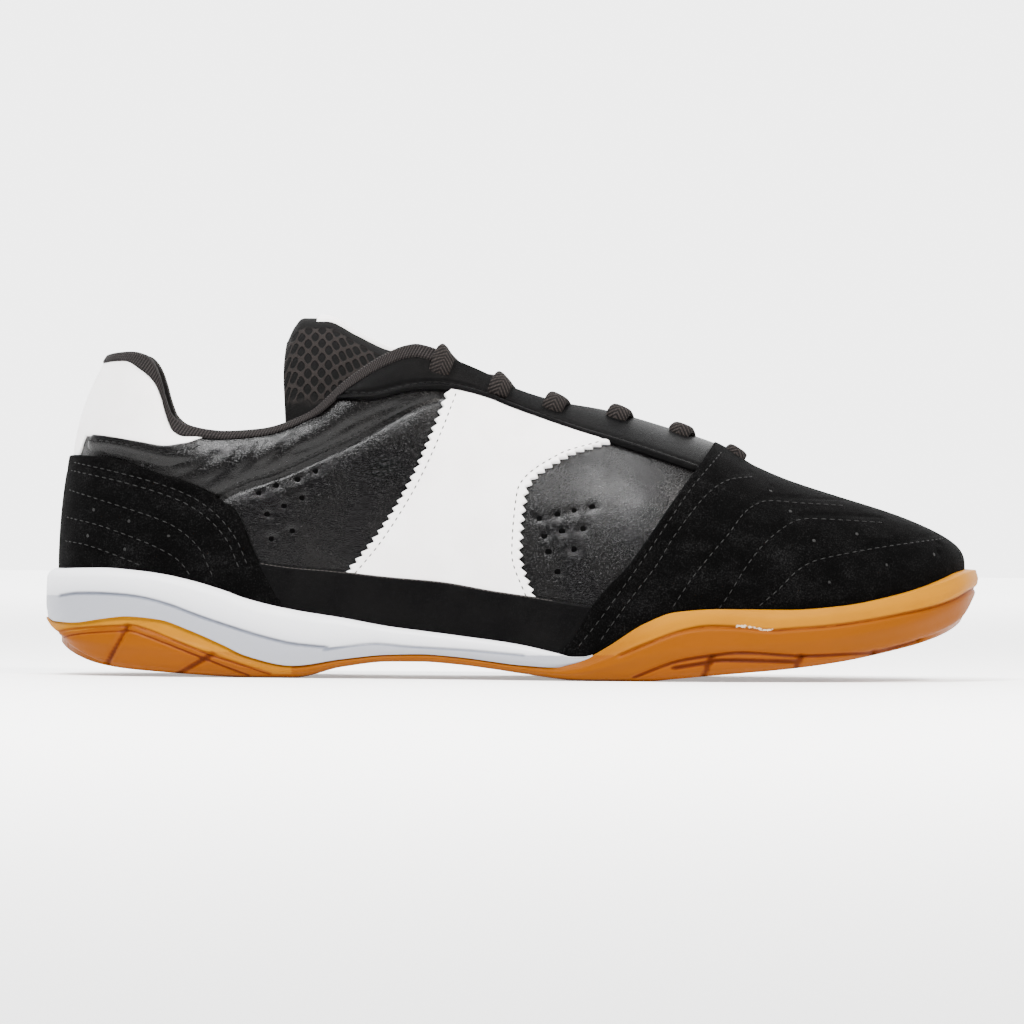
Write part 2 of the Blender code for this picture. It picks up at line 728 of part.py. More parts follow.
def pad_solid(name, halves, levels, finish, capped=False):
    """A sole piece: a wall of rings, with flat strips across its bottom and its top."""
    wall = [np.stack([level(half) for level in levels], axis=1) for half in halves]
    below = np.stack([wall[0][:, 0], wall[1][:, 0]], axis=1)
    above = np.stack([wall[0][:, -1], wall[1][:, -1]], axis=1)
    blocks = [wall[0], wall[1], below, above]
    points = np.concatenate([b.reshape(-1, 3) for b in blocks])
    faces = []
    start = 0
    ends = []
    for block in blocks:
        number = start + np.arange(block.shape[0] * block.shape[1]).reshape(block.shape[:2])
        for j in range(block.shape[1] - 1):
            faces += strip_faces(number[:, j], number[:, j + 1])
        ends.append(number[-1])
        start += block.shape[0] * block.shape[1]
    if capped:
        around = list(ends[2]) + list(ends[1][1:]) + list(ends[3][::-1][1:])
        faces.append(tuple(around + list(ends[0][::-1][1:-1])))
    return solid(name, points, faces, finish, smooth_angle=35)


def ring_level(inset, height):
    """A ring of a sole piece: inset from the outline, height as a function of the place."""

    def level(half):
        own_inset = inset(half) if callable(inset) else inset
        plan = half.spine + half.way * (half.reach - own_inset)[:, None]
        return np.concatenate([plan, height(plan)[:, None]], axis=1)

    return level


def groove_lift(x):
    """How much the tread is raised in the grooves between the lugs."""
    off = np.min([np.abs(x - share * LENGTH) for share in LUG_GROOVES], axis=0)
    return LUG_DEPTH * (off < LUG_GROOVE * 0.75)


def plate_top(x):
    """The rubber under the midsole."""
    return np.minimum(tread_height(x) + TREAD_PLATE, gum_height(x) - GAP)


def build_outsole(finish):
    grooves = []
    for share in LUG_GROOVES:
        for step in (-1.0, -0.6, 0.6, 1.0):
            grooves.append(share + step * LUG_GROOVE / LENGTH)
    behind = MIDSOLE_FRONT * LENGTH + GAP
    steps = [behind / LENGTH, (behind + PLATE_STEP) / LENGTH]
    places = sorted(TREAD_PLACES + FLAT_SPOTS + steps + grooves + [TOE_CENTRE])
    halves = [half_ring(places, side, heel=9, toe=9) for side in (LATERAL, MEDIAL)]

    def bottom(plan):
        return tread_height(plan[..., 0]) + groove_lift(plan[..., 0])

    def wall_at(share):
        def height(plan):
            low = bottom(plan)
            return low + (gum_height(plan[..., 0]) - low) * share

        return height

    def plate(plan):
        x = plan[..., 0]
        return np.where(x < behind + PLATE_STEP / 2, plate_top(x), bed_height(x))

    levels = [ring_level(row.inset * EDGE_ROUND, wall_at(row.height)) for row in GUM_PROFILE]
    levels += [ring_level(rim_inset, wall_at(1.0)), ring_level(rim_inset, plate)]
    return pad_solid("outsole", halves, levels, finish)


def rim_inset(half):
    """The gum wall's inner face: a thin lip beside the midsole, the whole cup in front."""
    front = fade(half.edge[:, 0] / LENGTH, CUP_START, CUP_WHOLE)
    return RIM_WALL + (CUP_WALL - RIM_WALL) * front


def build_midsole(finish):
    sides = (LATERAL, MEDIAL)
    halves = [half_ring(FOAM_PLACES, side, heel=9, whole=False) for side in sides]

    def wall_at(share):
        def height(plan):
            low = gum_height(plan[..., 0]) + GAP
            return low + (wall_height(plan[..., 0]) - low) * share

        return height

    def under(plan):
        return plate_top(plan[..., 0]) + GAP

    def bed(plan):
        return bed_height(plan[..., 0])

    inner = RIM_WALL + GAP
    levels = [ring_level(inner, under), ring_level(inner, wall_at(0.0))]
    levels += [ring_level(row.inset * EDGE_ROUND, wall_at(row.height)) for row in FOAM_PROFILE]
    levels += [ring_level(CUP_WALL, wall_at(1.0)), ring_level(CUP_WALL, bed)]
    return pad_solid("midsole", halves, levels, finish, capped=True)


def build_insole(finish):
    halves = [half_ring(INSOLE_PLACES, side) for side in (LATERAL, MEDIAL)]
    inset = CUP_WALL + GAP + UPPER_WALL + GAP

    def bottom(plan):
        return bed_height(plan[..., 0]) + GAP

    def top(plan):
        return bed_height(plan[..., 0]) + GAP + INSOLE_THICKNESS

    levels = [ring_level(inset + INSOLE_DRAFT, bottom), ring_level(inset, top)]
    return pad_solid("insole", halves, levels, finish)


def build_tongue(finish):
    """A padded vault that follows the upper's sections inside the throat."""
    sheets = []
    for deep in (0.0, TONGUE_THICKNESS):
        sheets.append(np.array([tongue_row(share, deep) for share in TONGUE_PLACES]))
    return skin_solid("tongue", sheets[0], sheets[1], finish)


def tongue_row(share, deep):
    """One section of the tongue from its lateral wing over the crown to its medial wing."""
    collar_z = shell_top(share * LENGTH)
    free = 1 - fade(share, TONGUE_FREE, TONGUE_HELD)
    sewn = fade(share, TONGUE_PLACES[-4], TONGUE_PLACES[-1])
    clear = TONGUE_CLEARANCE + (TONGUE_SEAM - TONGUE_CLEARANCE) * sewn
    sunk = clear + UPPER_WALL * fade(share, TONGUE_PLACES[-6], TONGUE_PLACES[-2])
    own_crown = upper_height(smooth_table(TONGUE, "ridge")(share))
    crown = own_crown * free + (collar_z - sunk) * (1 - free)
    wing_z = collar_z - UPPER_RISE * smooth_table(TONGUE, "depth")(share)
    halves = []
    for side in (LATERAL, MEDIAL):
        ring = stations([share], side, [], [])
        foot, exponent, opening, half, rise, in_toe = (v[0] for v in upper_frame(ring))
        vault = crown - foot
        wing_y = half * opening - UPPER_WALL - COLLAR_PADDING * collar_share(share)
        level = np.clip((collar_z - foot) / vault, 0.05, 0.97)
        narrow = (wing_y - TONGUE_CLEARANCE) / (1 - level**exponent) ** (1 / exponent)
        limit = half - UPPER_WALL - 2 * clear
        width = min(narrow, limit) * free + limit * (1 - free)
        low = math.asin(min((wing_z - foot) / vault, 0.98) ** (exponent / 2))
        run = []
        for turn in np.linspace(low, math.pi / 2, TONGUE_HALF + 1):
            out = max(math.cos(turn), 0.0) ** (2 / exponent)
            out = out if turn < math.pi / 2 else 0.0
            up = math.sin(turn) ** (2 / exponent)
            normal = np.array([out ** (exponent - 1) / width, up ** (exponent - 1) / vault])
            normal = normal / np.hypot(*normal)
            y = ring.spine[0, 1] + side * (width * out - deep * normal[0])
            run.append((ring.spine[0, 0], y, foot + vault * up - deep * normal[1]))
        halves.append(run)
    return halves[0] + halves[1][-2::-1]


def ribbon(points, normals, width, thickness):
    """A closed flat strip along some points, lying square to the normals there."""
    run = np.gradient(points, axis=0)
    run /= np.linalg.norm(run, axis=1)[:, None]
    side = np.cross(run, normals)
    side /= np.linalg.norm(side, axis=1)[:, None]
    up = np.cross(side, run)
    corners = []
    for a, b in ((-1, -1), (1, -1), (1, 1), (-1, 1)):
        corners.append(points + side * a * width / 2 + up * b * thickness / 2)
    grid = np.stack(corners, axis=1)
    number = np.arange(grid.shape[0] * grid.shape[1]).reshape(grid.shape[:2])
    faces = []
    for i in range(len(points) - 1):
        faces += strip_faces(number[i], number[i + 1], wrap=True)
    faces += [tuple(number[0]), tuple(number[-1])]
    return grid.reshape(-1, 3), faces


def eased(points, count):
    """Points spread evenly by number along a smooth curve through a few points."""
    points = np.array(points)
    at = np.linspace(0, len(points) - 1, count)
    padded = np.vstack([2 * points[0] - points[1], points, 2 * points[-1] - points[-2]])
    out = []
    for value in at:
        i = min(int(value), len(points) - 2)
        t = value - i
        a, b, c, d = padded[i : i + 4]
        cube = (3 * b - a - 3 * c + d) * t**3
        out.append(b + 0.5 * ((c - a) * t + (2 * a - 5 * b + 4 * c - d) * t**2 + cube))
    return np.array(out)


def throat_point(share, side, past, offset):
    """A point over the eyestay, some way past the throat's edge, and the normal there."""
    found = []
    for place in (share, share + 0.004):
        ring = stations([place], side, [], [])
        foot, exponent, opening, half, rise, in_toe = (v[0] for v in upper_frame(ring))
        turn = np.arccos(min(opening + past / half, 1) ** (exponent / 2))
        for away in (0.0, offset):
            found.append(upper_point(ring, np.array([[turn]]), np.array([[away]]))[0, 0])
    normal = (found[1] - found[0]) / offset
    along = found[2] - found[0]
    normal = normal - along * np.dot(normal, along) / np.dot(along, along)
    return found[0] + normal * offset, normal


def free_point(share, off_ridge, over):
    """A point of the lace over the open throat, some way off the ridge, and the normal."""
    x = share * LENGTH
    fall = (shell_top(x + LACE_WIDTH) - shell_top(x - LACE_WIDTH)) / (2 * LACE_WIDTH)
    spot = (x, ridge_place(x) + off_ridge, shell_top(x) + over)
    return np.array(spot), np.array([-fall, 0, 1])


def throat_half(share, side):
    ring = stations([share], side, [], [])
    foot, exponent, opening, half, rise, in_toe = (v[0] for v in upper_frame(ring))
    return opening * half


def lace_path(start, end, side, lift):
    """From an eyelet on one side, over the throat, to an eyelet on the other side."""
    over = PLY_GAP + PLY + LACE_GAP + LACE_THICKNESS / 2 + lift
    lean = (end - start) * 0.12
    first = side * throat_half(start + 2 * lean, side) * 0.70
    last = -side * throat_half(end - 2 * lean, -side) * 0.70
    knots = [
        throat_point(start, side, EYELET_SETBACK, over),
        throat_point(start + lean, side, 0, over),
        free_point(start + 2 * lean, first, over),
        free_point((start + end) / 2, 0, over),
        free_point(end - 2 * lean, last, over),
        throat_point(end - lean, -side, 0, over),
        throat_point(end, -side, EYELET_SETBACK, over),
    ]
    return [eased([knot[k] for knot in knots], LACE_STEPS) for k in (0, 1)]


def build_laces(finish):
    """Two ends of one lace that cross between the eyelets, and the bar at the front."""
    strands = []
    for i in range(len(EYELETS) - 1):
        for side in (LATERAL, MEDIAL):
            lift = 0.0001 * (i % 2) + 0.0002 * (side == MEDIAL)
            strands.append(lace_path(EYELETS[i], EYELETS[i + 1], side, lift))
    strands.append(lace_path(EYELETS[-1], EYELETS[-1], LATERAL, 0.0005))
    lace = None
    for i, path in enumerate(strands):
        points, faces = ribbon(*path, LACE_WIDTH, LACE_THICKNESS)
        piece = solid("laces" if lace is None else "lace_strand", points, faces, finish)
        if lace is None:
            lace = piece
            continue
        piece.hide_render = True
        piece.display_type = "WIRE"
        union = lace.modifiers.new("strand_" + str(i), "BOOLEAN")
        union.operation = "UNION"
        union.solver = "EXACT"
        union.object = piece
    return lace


def centre_on_origin():
    """Moves every piece so that the sole's middle stands over the origin."""
    middle = (OUTLINE_LOOP.min(axis=0) + OUTLINE_LOOP.max(axis=0)) / 2
    for piece in bpy.data.objects:
        piece.location = (-middle[0], -middle[1], 0.0)


def clear_scene():
    for item in list(bpy.data.objects):
        bpy.data.objects.remove(item, do_unlink=True)


def main():
    clear_scene()
    leather = material("black_leather", (0.012, 0.012, 0.013), 0.42)
    suede = material("black_suede", (0.006, 0.006, 0.006), 0.95)
    white = material("white_leather", (0.86, 0.84, 0.83), 0.5)
    gum = material("gum_rubber", (0.62, 0.27, 0.05), 0.45)
    foam = material("white_foam", (0.78, 0.81, 0.86), 0.5)
    tape = material("collar_tape", (0.045, 0.038, 0.036), 0.85)
    mesh = material("tongue_mesh", (0.06, 0.05, 0.05), 0.85)
    lining = material("insole_cloth", (0.02, 0.02, 0.02), 0.9)
    build_outsole(gum)
    build_midsole(foam)
    build_insole(lining)
    build_upper(leather)
    build_toe_cap(suede)
    build_heel_counter(suede)
    build_heel_tab(white)
    for name, side in (("lateral", LATERAL), ("medial", MEDIAL)):
        build_side_band("side_band_" + name, side, suede)
        build_eyestay("eyestay_" + name, side, leather)
        build_saddle("saddle_" + name, side, white)
    build_binding(tape)
    build_tongue(mesh)
    build_laces(tape)
    centre_on_origin()


main()
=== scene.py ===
# %% [markdown]
# # An indoor soccer shoe for the right foot
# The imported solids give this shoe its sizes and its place. This lesson dresses them: a
# finer skin for each sewn panel, seams, stitches and holes, a woven lace, and a material
# for each leather, cloth, foam and rubber. Every shape follows from the same few tables
# as the solids do, so that the dress fits the body under it.

# %% Load the solids
import math
from collections import namedtuple

import bmesh
import bpy
import numpy as np
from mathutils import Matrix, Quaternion, Vector, kdtree
from mathutils.bvhtree import BVHTree


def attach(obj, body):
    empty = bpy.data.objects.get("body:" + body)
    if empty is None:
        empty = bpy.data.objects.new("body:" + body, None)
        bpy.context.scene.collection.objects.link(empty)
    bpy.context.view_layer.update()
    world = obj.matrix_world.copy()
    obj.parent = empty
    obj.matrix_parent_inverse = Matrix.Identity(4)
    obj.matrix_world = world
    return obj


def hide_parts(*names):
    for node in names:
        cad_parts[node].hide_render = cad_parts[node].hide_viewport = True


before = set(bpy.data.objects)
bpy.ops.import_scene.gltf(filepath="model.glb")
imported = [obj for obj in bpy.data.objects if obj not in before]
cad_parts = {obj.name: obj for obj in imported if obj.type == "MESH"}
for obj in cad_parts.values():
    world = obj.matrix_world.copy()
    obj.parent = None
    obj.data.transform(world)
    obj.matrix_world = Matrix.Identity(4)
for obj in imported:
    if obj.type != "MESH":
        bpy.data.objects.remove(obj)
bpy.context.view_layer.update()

# %% [markdown]
# ## The shoe's sizes
# A shoe is graded from a few sizes: its length, its width at the ball, the height of the
# sole and the rise of the upper. Everything else is a share of one of those, so it is kept
# in short tables. Lengths here are in metres, from the rearmost point of the sole; the
# whole shoe is moved over the origin when a mesh is made.

# %% Sizes and tables
MM = 0.001
LENGTH = 0.285
BALL_WIDTH = 0.0975
SOLE_HEIGHT = 0.0325
UPPER_RISE = 0.068
GAP = 0.0003
UPPER_WALL = 0.0022
PLY = 0.0012
CUP_WALL = 0.0053
RIM_WALL = 0.0030
TREAD_PLATE = 0.0035
EDGE_ROUND = 0.0045
BINDING_PLY = 0.0008
HEEL_CENTRE, SPINE_START, TOE_CENTRE = 0.126, 0.1262, 0.853
MIDSOLE_FRONT, THROAT_FRONT, COLLAR_FRONT = 0.570, 0.762, 0.400
COUNTER_END, TAB_END, BINDING_END, FOAM_END, CAP_START = 0.2545, 0.1745, 0.417, 0.585, 0.549
BAND_ENDS, STAY_ENDS = (0.225, 0.600), (0.298, 0.722)
SKIRT = 0.0025
LATERAL, MEDIAL = -1, 1
SIDES = (("lateral", LATERAL), ("medial", MEDIAL))

# columns: x, lateral, medial
OUTLINE = np.array([
    (0.000, 0.000, 0.000), (0.012, 0.130, 0.125), (0.040, 0.228, 0.222),
    (0.090, 0.308, 0.305), (0.150, 0.350, 0.353), (0.210, 0.368, 0.364),
    (0.270, 0.372, 0.346), (0.340, 0.376, 0.312), (0.410, 0.394, 0.294),
    (0.480, 0.432, 0.315), (0.550, 0.478, 0.375), (0.610, 0.505, 0.430),
    (0.660, 0.513, 0.466), (0.720, 0.500, 0.488), (0.780, 0.462, 0.492),
    (0.840, 0.415, 0.474), (0.895, 0.338, 0.436), (0.940, 0.248, 0.380),
    (0.975, 0.130, 0.298), (0.993, 0.020, 0.200), (1.000, -0.090, 0.090),
])
# columns: x, tread, gum, wall, bed
SOLE_SIDE = np.array([
    (0.000, 0.520, 0.545, 0.990, 0.560), (0.008, 0.400, 0.510, 0.990, 0.560),
    (0.028, 0.229, 0.500, 0.996, 0.555), (0.060, 0.115, 0.538, 1.000, 0.545),
    (0.090, 0.071, 0.565, 0.985, 0.535), (0.125, 0.046, 0.540, 0.953, 0.525),
    (0.160, 0.026, 0.437, 0.890, 0.505), (0.195, 0.008, 0.305, 0.800, 0.475),
    (0.218, 0.000, 0.212, 0.728, 0.445), (0.268, 0.000, 0.121, 0.626, 0.388),
    (0.320, 0.105, 0.185, 0.555, 0.348), (0.370, 0.158, 0.231, 0.478, 0.320),
    (0.405, 0.160, 0.238, 0.440, 0.300), (0.440, 0.140, 0.218, 0.403, 0.268),
    (0.510, 0.063, 0.147, 0.320, 0.208), (0.545, 0.020, 0.130, 0.252, 0.168),
    (0.565, 0.002, 0.158, 0.214, 0.156), (0.575, 0.000, 0.188, 0.216, 0.153),
    (0.600, 0.000, 0.308, 0.308, 0.152), (0.640, 0.000, 0.532, 0.532, 0.157),
    (0.672, 0.025, 0.637, 0.637, 0.172), (0.720, 0.065, 0.668, 0.668, 0.208),
    (0.790, 0.120, 0.665, 0.665, 0.268), (0.850, 0.194, 0.705, 0.705, 0.340),
    (0.900, 0.286, 0.782, 0.782, 0.430), (0.940, 0.378, 0.868, 0.868, 0.530),
    (0.970, 0.486, 0.957, 0.957, 0.630), (0.985, 0.585, 1.010, 1.010, 0.690),
    (1.000, 0.800, 1.045, 1.045, 0.740),
])
# columns: x, height
TOP_LINE = np.array([
    (0.058, 0.925), (0.068, 0.960), (0.090, 0.970), (0.107, 0.955), (0.117, 0.916),
    (0.124, 0.855), (0.130, 0.765), (0.137, 0.690), (0.150, 0.650), (0.190, 0.622),
    (0.230, 0.634), (0.281, 0.707), (0.324, 0.860), (0.366, 0.972), (0.385, 1.000),
    (0.405, 0.985), (0.431, 0.944), (0.470, 0.874), (0.500, 0.808), (0.550, 0.744),
    (0.596, 0.710), (0.662, 0.635), (0.723, 0.552), (0.758, 0.481), (0.791, 0.422),
    (0.850, 0.342), (0.912, 0.265), (0.942, 0.226), (1.000, 0.150),
])
# columns: x, opening, roundness, ridge
SECTIONS = np.array([
    (0.000, 0.560, 2.00, 0.000), (0.040, 0.610, 2.00, 0.000), (0.080, 0.700, 2.05, 0.000),
    (0.126, 0.770, 2.10, 0.000), (0.190, 0.810, 2.20, 0.000), (0.260, 0.820, 2.25, 0.000),
    (0.320, 0.790, 2.25, 0.000), (0.365, 0.690, 2.20, 0.000), (0.410, 0.570, 2.15, 0.000),
    (0.470, 0.440, 2.15, 0.010), (0.550, 0.350, 2.20, 0.022), (0.630, 0.280, 2.30, 0.034),
    (0.700, 0.225, 2.40, 0.042), (0.737, 0.180, 2.45, 0.046), (0.753, 0.120, 2.50, 0.047),
    (0.762, 0.000, 2.50, 0.048), (0.853, 0.000, 2.70, 0.050), (0.930, 0.000, 3.20, 0.050),
    (1.000, 0.000, 3.60, 0.050),
])
EYELETS = [0.419, 0.481, 0.540, 0.608, 0.675, 0.735]


# %% [markdown]
# ## Curves through the tables
# A table row is a place that was measured. Between rows the line has to stay smooth and
# must not swing past them, so each column is read through a monotone cubic curve. The
# outline from above is a closed loop, which a Catmull-Rom curve follows.

# %% Smooth curves and the outline
def curve(x, y):
    """A smooth function through some points, level wherever two of them agree."""
    at, value = np.array(x, float), np.array(y, float)
    step = np.diff(at)
    slope = np.diff(value) / step
    tangent = np.zeros(len(at))
    tangent[0], tangent[-1] = slope[0], slope[-1]
    for i in range(1, len(at) - 1):
        if slope[i - 1] * slope[i] > 0:
            before, after = 2 * step[i] + step[i - 1], step[i] + 2 * step[i - 1]
            tangent[i] = (before + after) / (before / slope[i - 1] + after / slope[i])

    def read(place):
        place = np.clip(place, at[0], at[-1])
        i = np.clip(np.searchsorted(at, place, side="right") - 1, 0, len(step) - 1)
        t = (place - at[i]) / step[i]
        rise = (1 + 2 * t) * (1 - t) ** 2 * value[i] + t * t * (3 - 2 * t) * value[i + 1]
        bend = t * (1 - t) ** 2 * tangent[i] - t * t * (1 - t) * tangent[i + 1]
        return rise + step[i] * bend

    return read


def side_curve(pairs):
    """A curve over x from measured (x, z) pairs in millimetres, both in and out in metres."""
    return curve([p[0] * MM for p in pairs], [p[1] * MM for p in pairs])


def spline(a, b, c, d, t):
    """A Catmull-Rom curve from b to c, shaped by the knots before and after them."""
    cube = (3 * b - a - 3 * c + d) * t**3
    return b + 0.5 * ((c - a) * t + (2 * a - 5 * b + 4 * c - d) * t**2 + cube)


def extended(knots):
    """Knots with one more at each end, in line with the last two."""
    return np.vstack([2 * knots[0] - knots[1], knots, 2 * knots[-1] - knots[-2]])


def outline_loop(steps=14):
    lateral = [(x * LENGTH, -a * BALL_WIDTH) for x, a, b in OUTLINE]
    medial = [(x * LENGTH, b * BALL_WIDTH) for x, a, b in OUTLINE[1:-1]]
    knots = np.array(lateral + medial[::-1])
    t = (np.arange(steps) / steps)[None, :, None]
    around = [np.roll(knots, -k, axis=0)[:, None] for k in (-1, 0, 1, 2)]
    return spline(*around, t).reshape(-1, 2)


LOOP = outline_loop()
SHIFT = np.append((LOOP.min(axis=0) + LOOP.max(axis=0)) / 2, 0.0)
TREAD, GUM, WALL, BED = (curve(SOLE_SIDE[:, 0], SOLE_SIDE[:, k]) for k in (1, 2, 3, 4))
TOP = curve(TOP_LINE[:, 0], TOP_LINE[:, 1])
OPENING, ROUNDNESS, RIDGE = (curve(SECTIONS[:, 0], SECTIONS[:, k]) for k in (1, 2, 3))
print("outline", np.round(np.ptp(LOOP, axis=0) / MM, 1), "mm, moved by", np.round(SHIFT, 4))


# %% [markdown]
# ## Sections of the upper
# A last is described by its sections. Each one here is half of a superellipse: it leaves
# the sole upright, and leans in to the collar or the throat. The sections stand square to
# the shoe's middle line, and fan out round the heel and round the toes. One function gives
# any point of this skin, and also points at some distance from it, which is what a sewn
# panel, a lining or a seam needs.

# %% Stations and sections
Ring = namedtuple("Ring", "spine way reach edge")
Section = namedtuple("Section", "foot exponent opening half rise in_toe rim_x")


def fade(x, start, end):
    t = np.clip((x - start) / (end - start), 0, 1)
    return t * t * (3 - 2 * t)


def wall_height(x):
    return SOLE_HEIGHT * WALL(x / LENGTH)


def upper_height(share):
    return SOLE_HEIGHT + UPPER_RISE * share


def shell_top(x):
    share = x / LENGTH
    binding = (BINDING_PLY + GAP) * (1 - fade(share, COLLAR_FRONT - 0.02, COLLAR_FRONT))
    cap = (PLY + GAP) * fade(share, THROAT_FRONT - 0.05, THROAT_FRONT)
    return upper_height(TOP(share)) - binding - cap


def edge_distance(spine, way):
    start = LOOP[None] - spine[:, None]
    span = np.roll(LOOP, -1, axis=0)[None] - LOOP[None]
    across = span[..., 0] * way[:, None, 1] - span[..., 1] * way[:, None, 0]
    across = np.where(np.abs(across) < 1e-15, 1e-15, across)
    along = (start[..., 1] * way[:, None, 0] - start[..., 0] * way[:, None, 1]) / across
    distance = (span[..., 0] * start[..., 1] - span[..., 1] * start[..., 0]) / across
    hit = (along >= 0) & (along < 1) & (distance > 0)
    return np.where(hit, np.abs(distance), 0).max(axis=1)


def ring_of(places, side, heel=(), toe=()):
    """Stations of one side, heel to toe: shares of LENGTH, with fan angles at both ends."""
    spine = [(HEEL_CENTRE, a) for a in heel] + [(p, None) for p in places]
    spine += [(TOE_CENTRE, a) for a in toe]
    sign = [-1] * len(heel) + [0] * len(places) + [1] * len(toe)
    way = [(s * math.cos(a), side * math.sin(a)) if s else (0.0, side)
           for s, (p, a) in zip(sign, spine)]
    x = np.array([p for p, a in spine])
    spine = np.stack([x * LENGTH, BALL_WIDTH * RIDGE(x)], axis=1)
    way = np.array(way, float)
    reach = edge_distance(spine, way)
    return Ring(spine, way, reach, spine + way * reach[:, None])


def joined(*rings):
    return Ring(*(np.concatenate(parts) for parts in zip(*rings)))


def fan(count):
    return np.arange(count) * (math.pi / 2) / count


HEEL_FAN, TOE_FAN = fan(34), fan(44)[::-1]


def places(start, end, step=1.3 * MM):
    return list(np.linspace(start, end, max(2, int((end - start) * LENGTH / step))))


def whole_ring(step=1.3 * MM, heel=HEEL_FAN, toe=TOE_FAN):
    """A closed ring: out along the lateral side, round the toe, back along the medial."""
    along = places(SPINE_START, TOE_CENTRE, step)
    halves = [ring_of(along, s, heel, toe) for s in (LATERAL, MEDIAL)]
    back = Ring(*(rows[-2:0:-1] for rows in halves[1]))
    return joined(halves[0], back)


def heel_ring(end, step=1.0 * MM):
    """From the medial side round the heel to the lateral side."""
    a, b = (ring_of(places(SPINE_START, end, step), s, HEEL_FAN) for s in (LATERAL, MEDIAL))
    return joined(Ring(*(rows[:0:-1] for rows in b)), a)


def section(ring):
    share = np.clip(ring.edge[:, 0] / LENGTH, 0, 1)
    in_toe = ring.way[:, 0] > 0
    share = np.where(ring.way[:, 0] == 0, ring.spine[:, 0] / LENGTH, share)
    foot = wall_height(share * LENGTH)
    exponent, opening = ROUNDNESS(share), OPENING(share)
    half = ring.reach - CUP_WALL - GAP
    rim_x = ring.spine[:, 0] + ring.way[:, 0] * half * opening
    rise = (shell_top(rim_x) - foot) / (1 - opening**exponent) ** (1 / exponent)
    return Section(foot, exponent, opening, half, rise, in_toe, rim_x)


def upper_point(ring, turn, offset):
    at = Section(*(v[:, None] for v in section(ring)))
    out = np.maximum(np.cos(turn), 0) ** (2 / at.exponent)
    up = np.sin(turn) ** (2 / at.exponent)
    x = ring.spine[:, :1] + ring.way[:, :1] * at.half * out
    rise = np.where(at.in_toe, shell_top(x) - at.foot, at.rise)
    normal_out = out ** (at.exponent - 1) / at.half
    normal_up = up ** (at.exponent - 1) / rise
    size = np.hypot(normal_out, normal_up)
    away = at.half * out + offset * normal_out / size
    z = at.foot + rise * up + offset * normal_up / size
    plan = ring.spine[:, None, :] + ring.way[:, None, :] * away[:, :, None]
    return np.concatenate([plan, z[:, :, None]], axis=2)


def rim_turn(ring):
    at = section(ring)
    return np.arccos(np.clip(at.opening, 0, 1) ** (at.exponent / 2))


def height_turn(ring, height):
    at = section(ring)
    up = np.clip((height - at.foot) / at.rise, 0.0, 0.9999)
    return np.minimum(np.arcsin(up ** (at.exponent / 2)), rim_turn(ring))


def station_x(ring):
    return np.where(ring.way[:, 0] == 0, ring.spine[:, 0], ring.edge[:, 0])


ball = edge_distance(np.array([[0.66 * LENGTH, 0.0]]), np.array([[0.0, -1.0]]))
print("half-width at the ball", np.round(ball / MM, 1), "mm")


# %% [markdown]
# ## Lines seen from the side
# Seams and panel edges were measured from the side, in millimetres from the heel and above
# the floor. A ray cast inwards from that side brings each one onto the skin. Its distance
# from every point of the skin is then known, and a soft trough or ridge follows from it.

# %% Panel edges from the side
COUNTER_TOP = side_curve([(0, 66.9), (13.4, 66.3), (32.8, 61.8), (49, 56.3), (54.5, 53.2),
                          (57.9, 51.5), (61.6, 45.3), (64, 39.1), (66.5, 34.2),
                          (69.6, 28.6), (72.7, 23)])
TAB_BOTTOM = side_curve([(0, 73.2), (16, 73.1), (22.8, 72.3), (30.3, 70.5), (37.8, 69),
                         (42.8, 70), (47.8, 71.9), (50.2, 72.8)])
COLLAR_SEAM = [(52.5, 53), (60.3, 57.2), (72.7, 61.6), (85.2, 67.4), (95.7, 72.4),
               (104.4, 77.9), (113.5, 82.8), (119.5, 85)]
PANEL_LOW = side_curve([(0, 66), (13.5, 65.3), (32.8, 60.5), (44, 56)] + COLLAR_SEAM)
ROLL = side_curve([(0, 0.5), (30, 1.0), (42, 1.8), (56, 2.6), (90, 2.8), (106, 1.4), (118, 0)])
TOE_BACK = side_curve([(156.5, 8.9), (160.4, 12.8), (166.7, 22.9), (178.7, 36.5),
                       (180.9, 39.5), (186, 47.1), (191.6, 55.1), (195.3, 60.2),
                       (198.6, 64), (203.3, 69.9), (206.2, 72)])
BAND_TOP = side_curve([(64, 35.2), (75.9, 33.6), (86.5, 32.8), (105, 30.9), (120.7, 29.6),
                       (136.4, 27), (152.1, 24.8), (172, 21.6)])
EYESTAY_LOW = side_curve([(84.5, 83.3), (92.3, 84), (99.6, 83.8), (110.5, 86.3),
                          (116.5, 87.2), (122.5, 87), (128.6, 85.8), (134.6, 84.1),
                          (140.7, 81.5), (146.7, 79.4), (161.6, 74.3), (175.3, 70.3),
                          (193.6, 64.3), (202, 61.4)])
EYESTAY_CORD = [(84.5, 83.3), (99.6, 83.8), (110.5, 86.3), (122.5, 87), (134.6, 84.1),
                (146.7, 79.4), (161.6, 74.3), (175.3, 70.3), (193.6, 64.3), (202, 61.4)]
WRINKLES = [
    [(20, 67.5), (26, 66.5), (33, 67.2)], [(30, 64.5), (38, 65.2), (44, 67.6)],
    [(40, 60.5), (47, 63), (53, 67.5)], [(50, 58.5), (56, 63.2), (60, 69)],
    [(58, 60.8), (63, 65.5), (66, 71)], [(66, 63.6), (71, 67.6), (75, 73)],
    [(77, 68.5), (84, 71.2), (92, 76)], [(92, 76.2), (99, 79.6), (106, 82.4)],
]
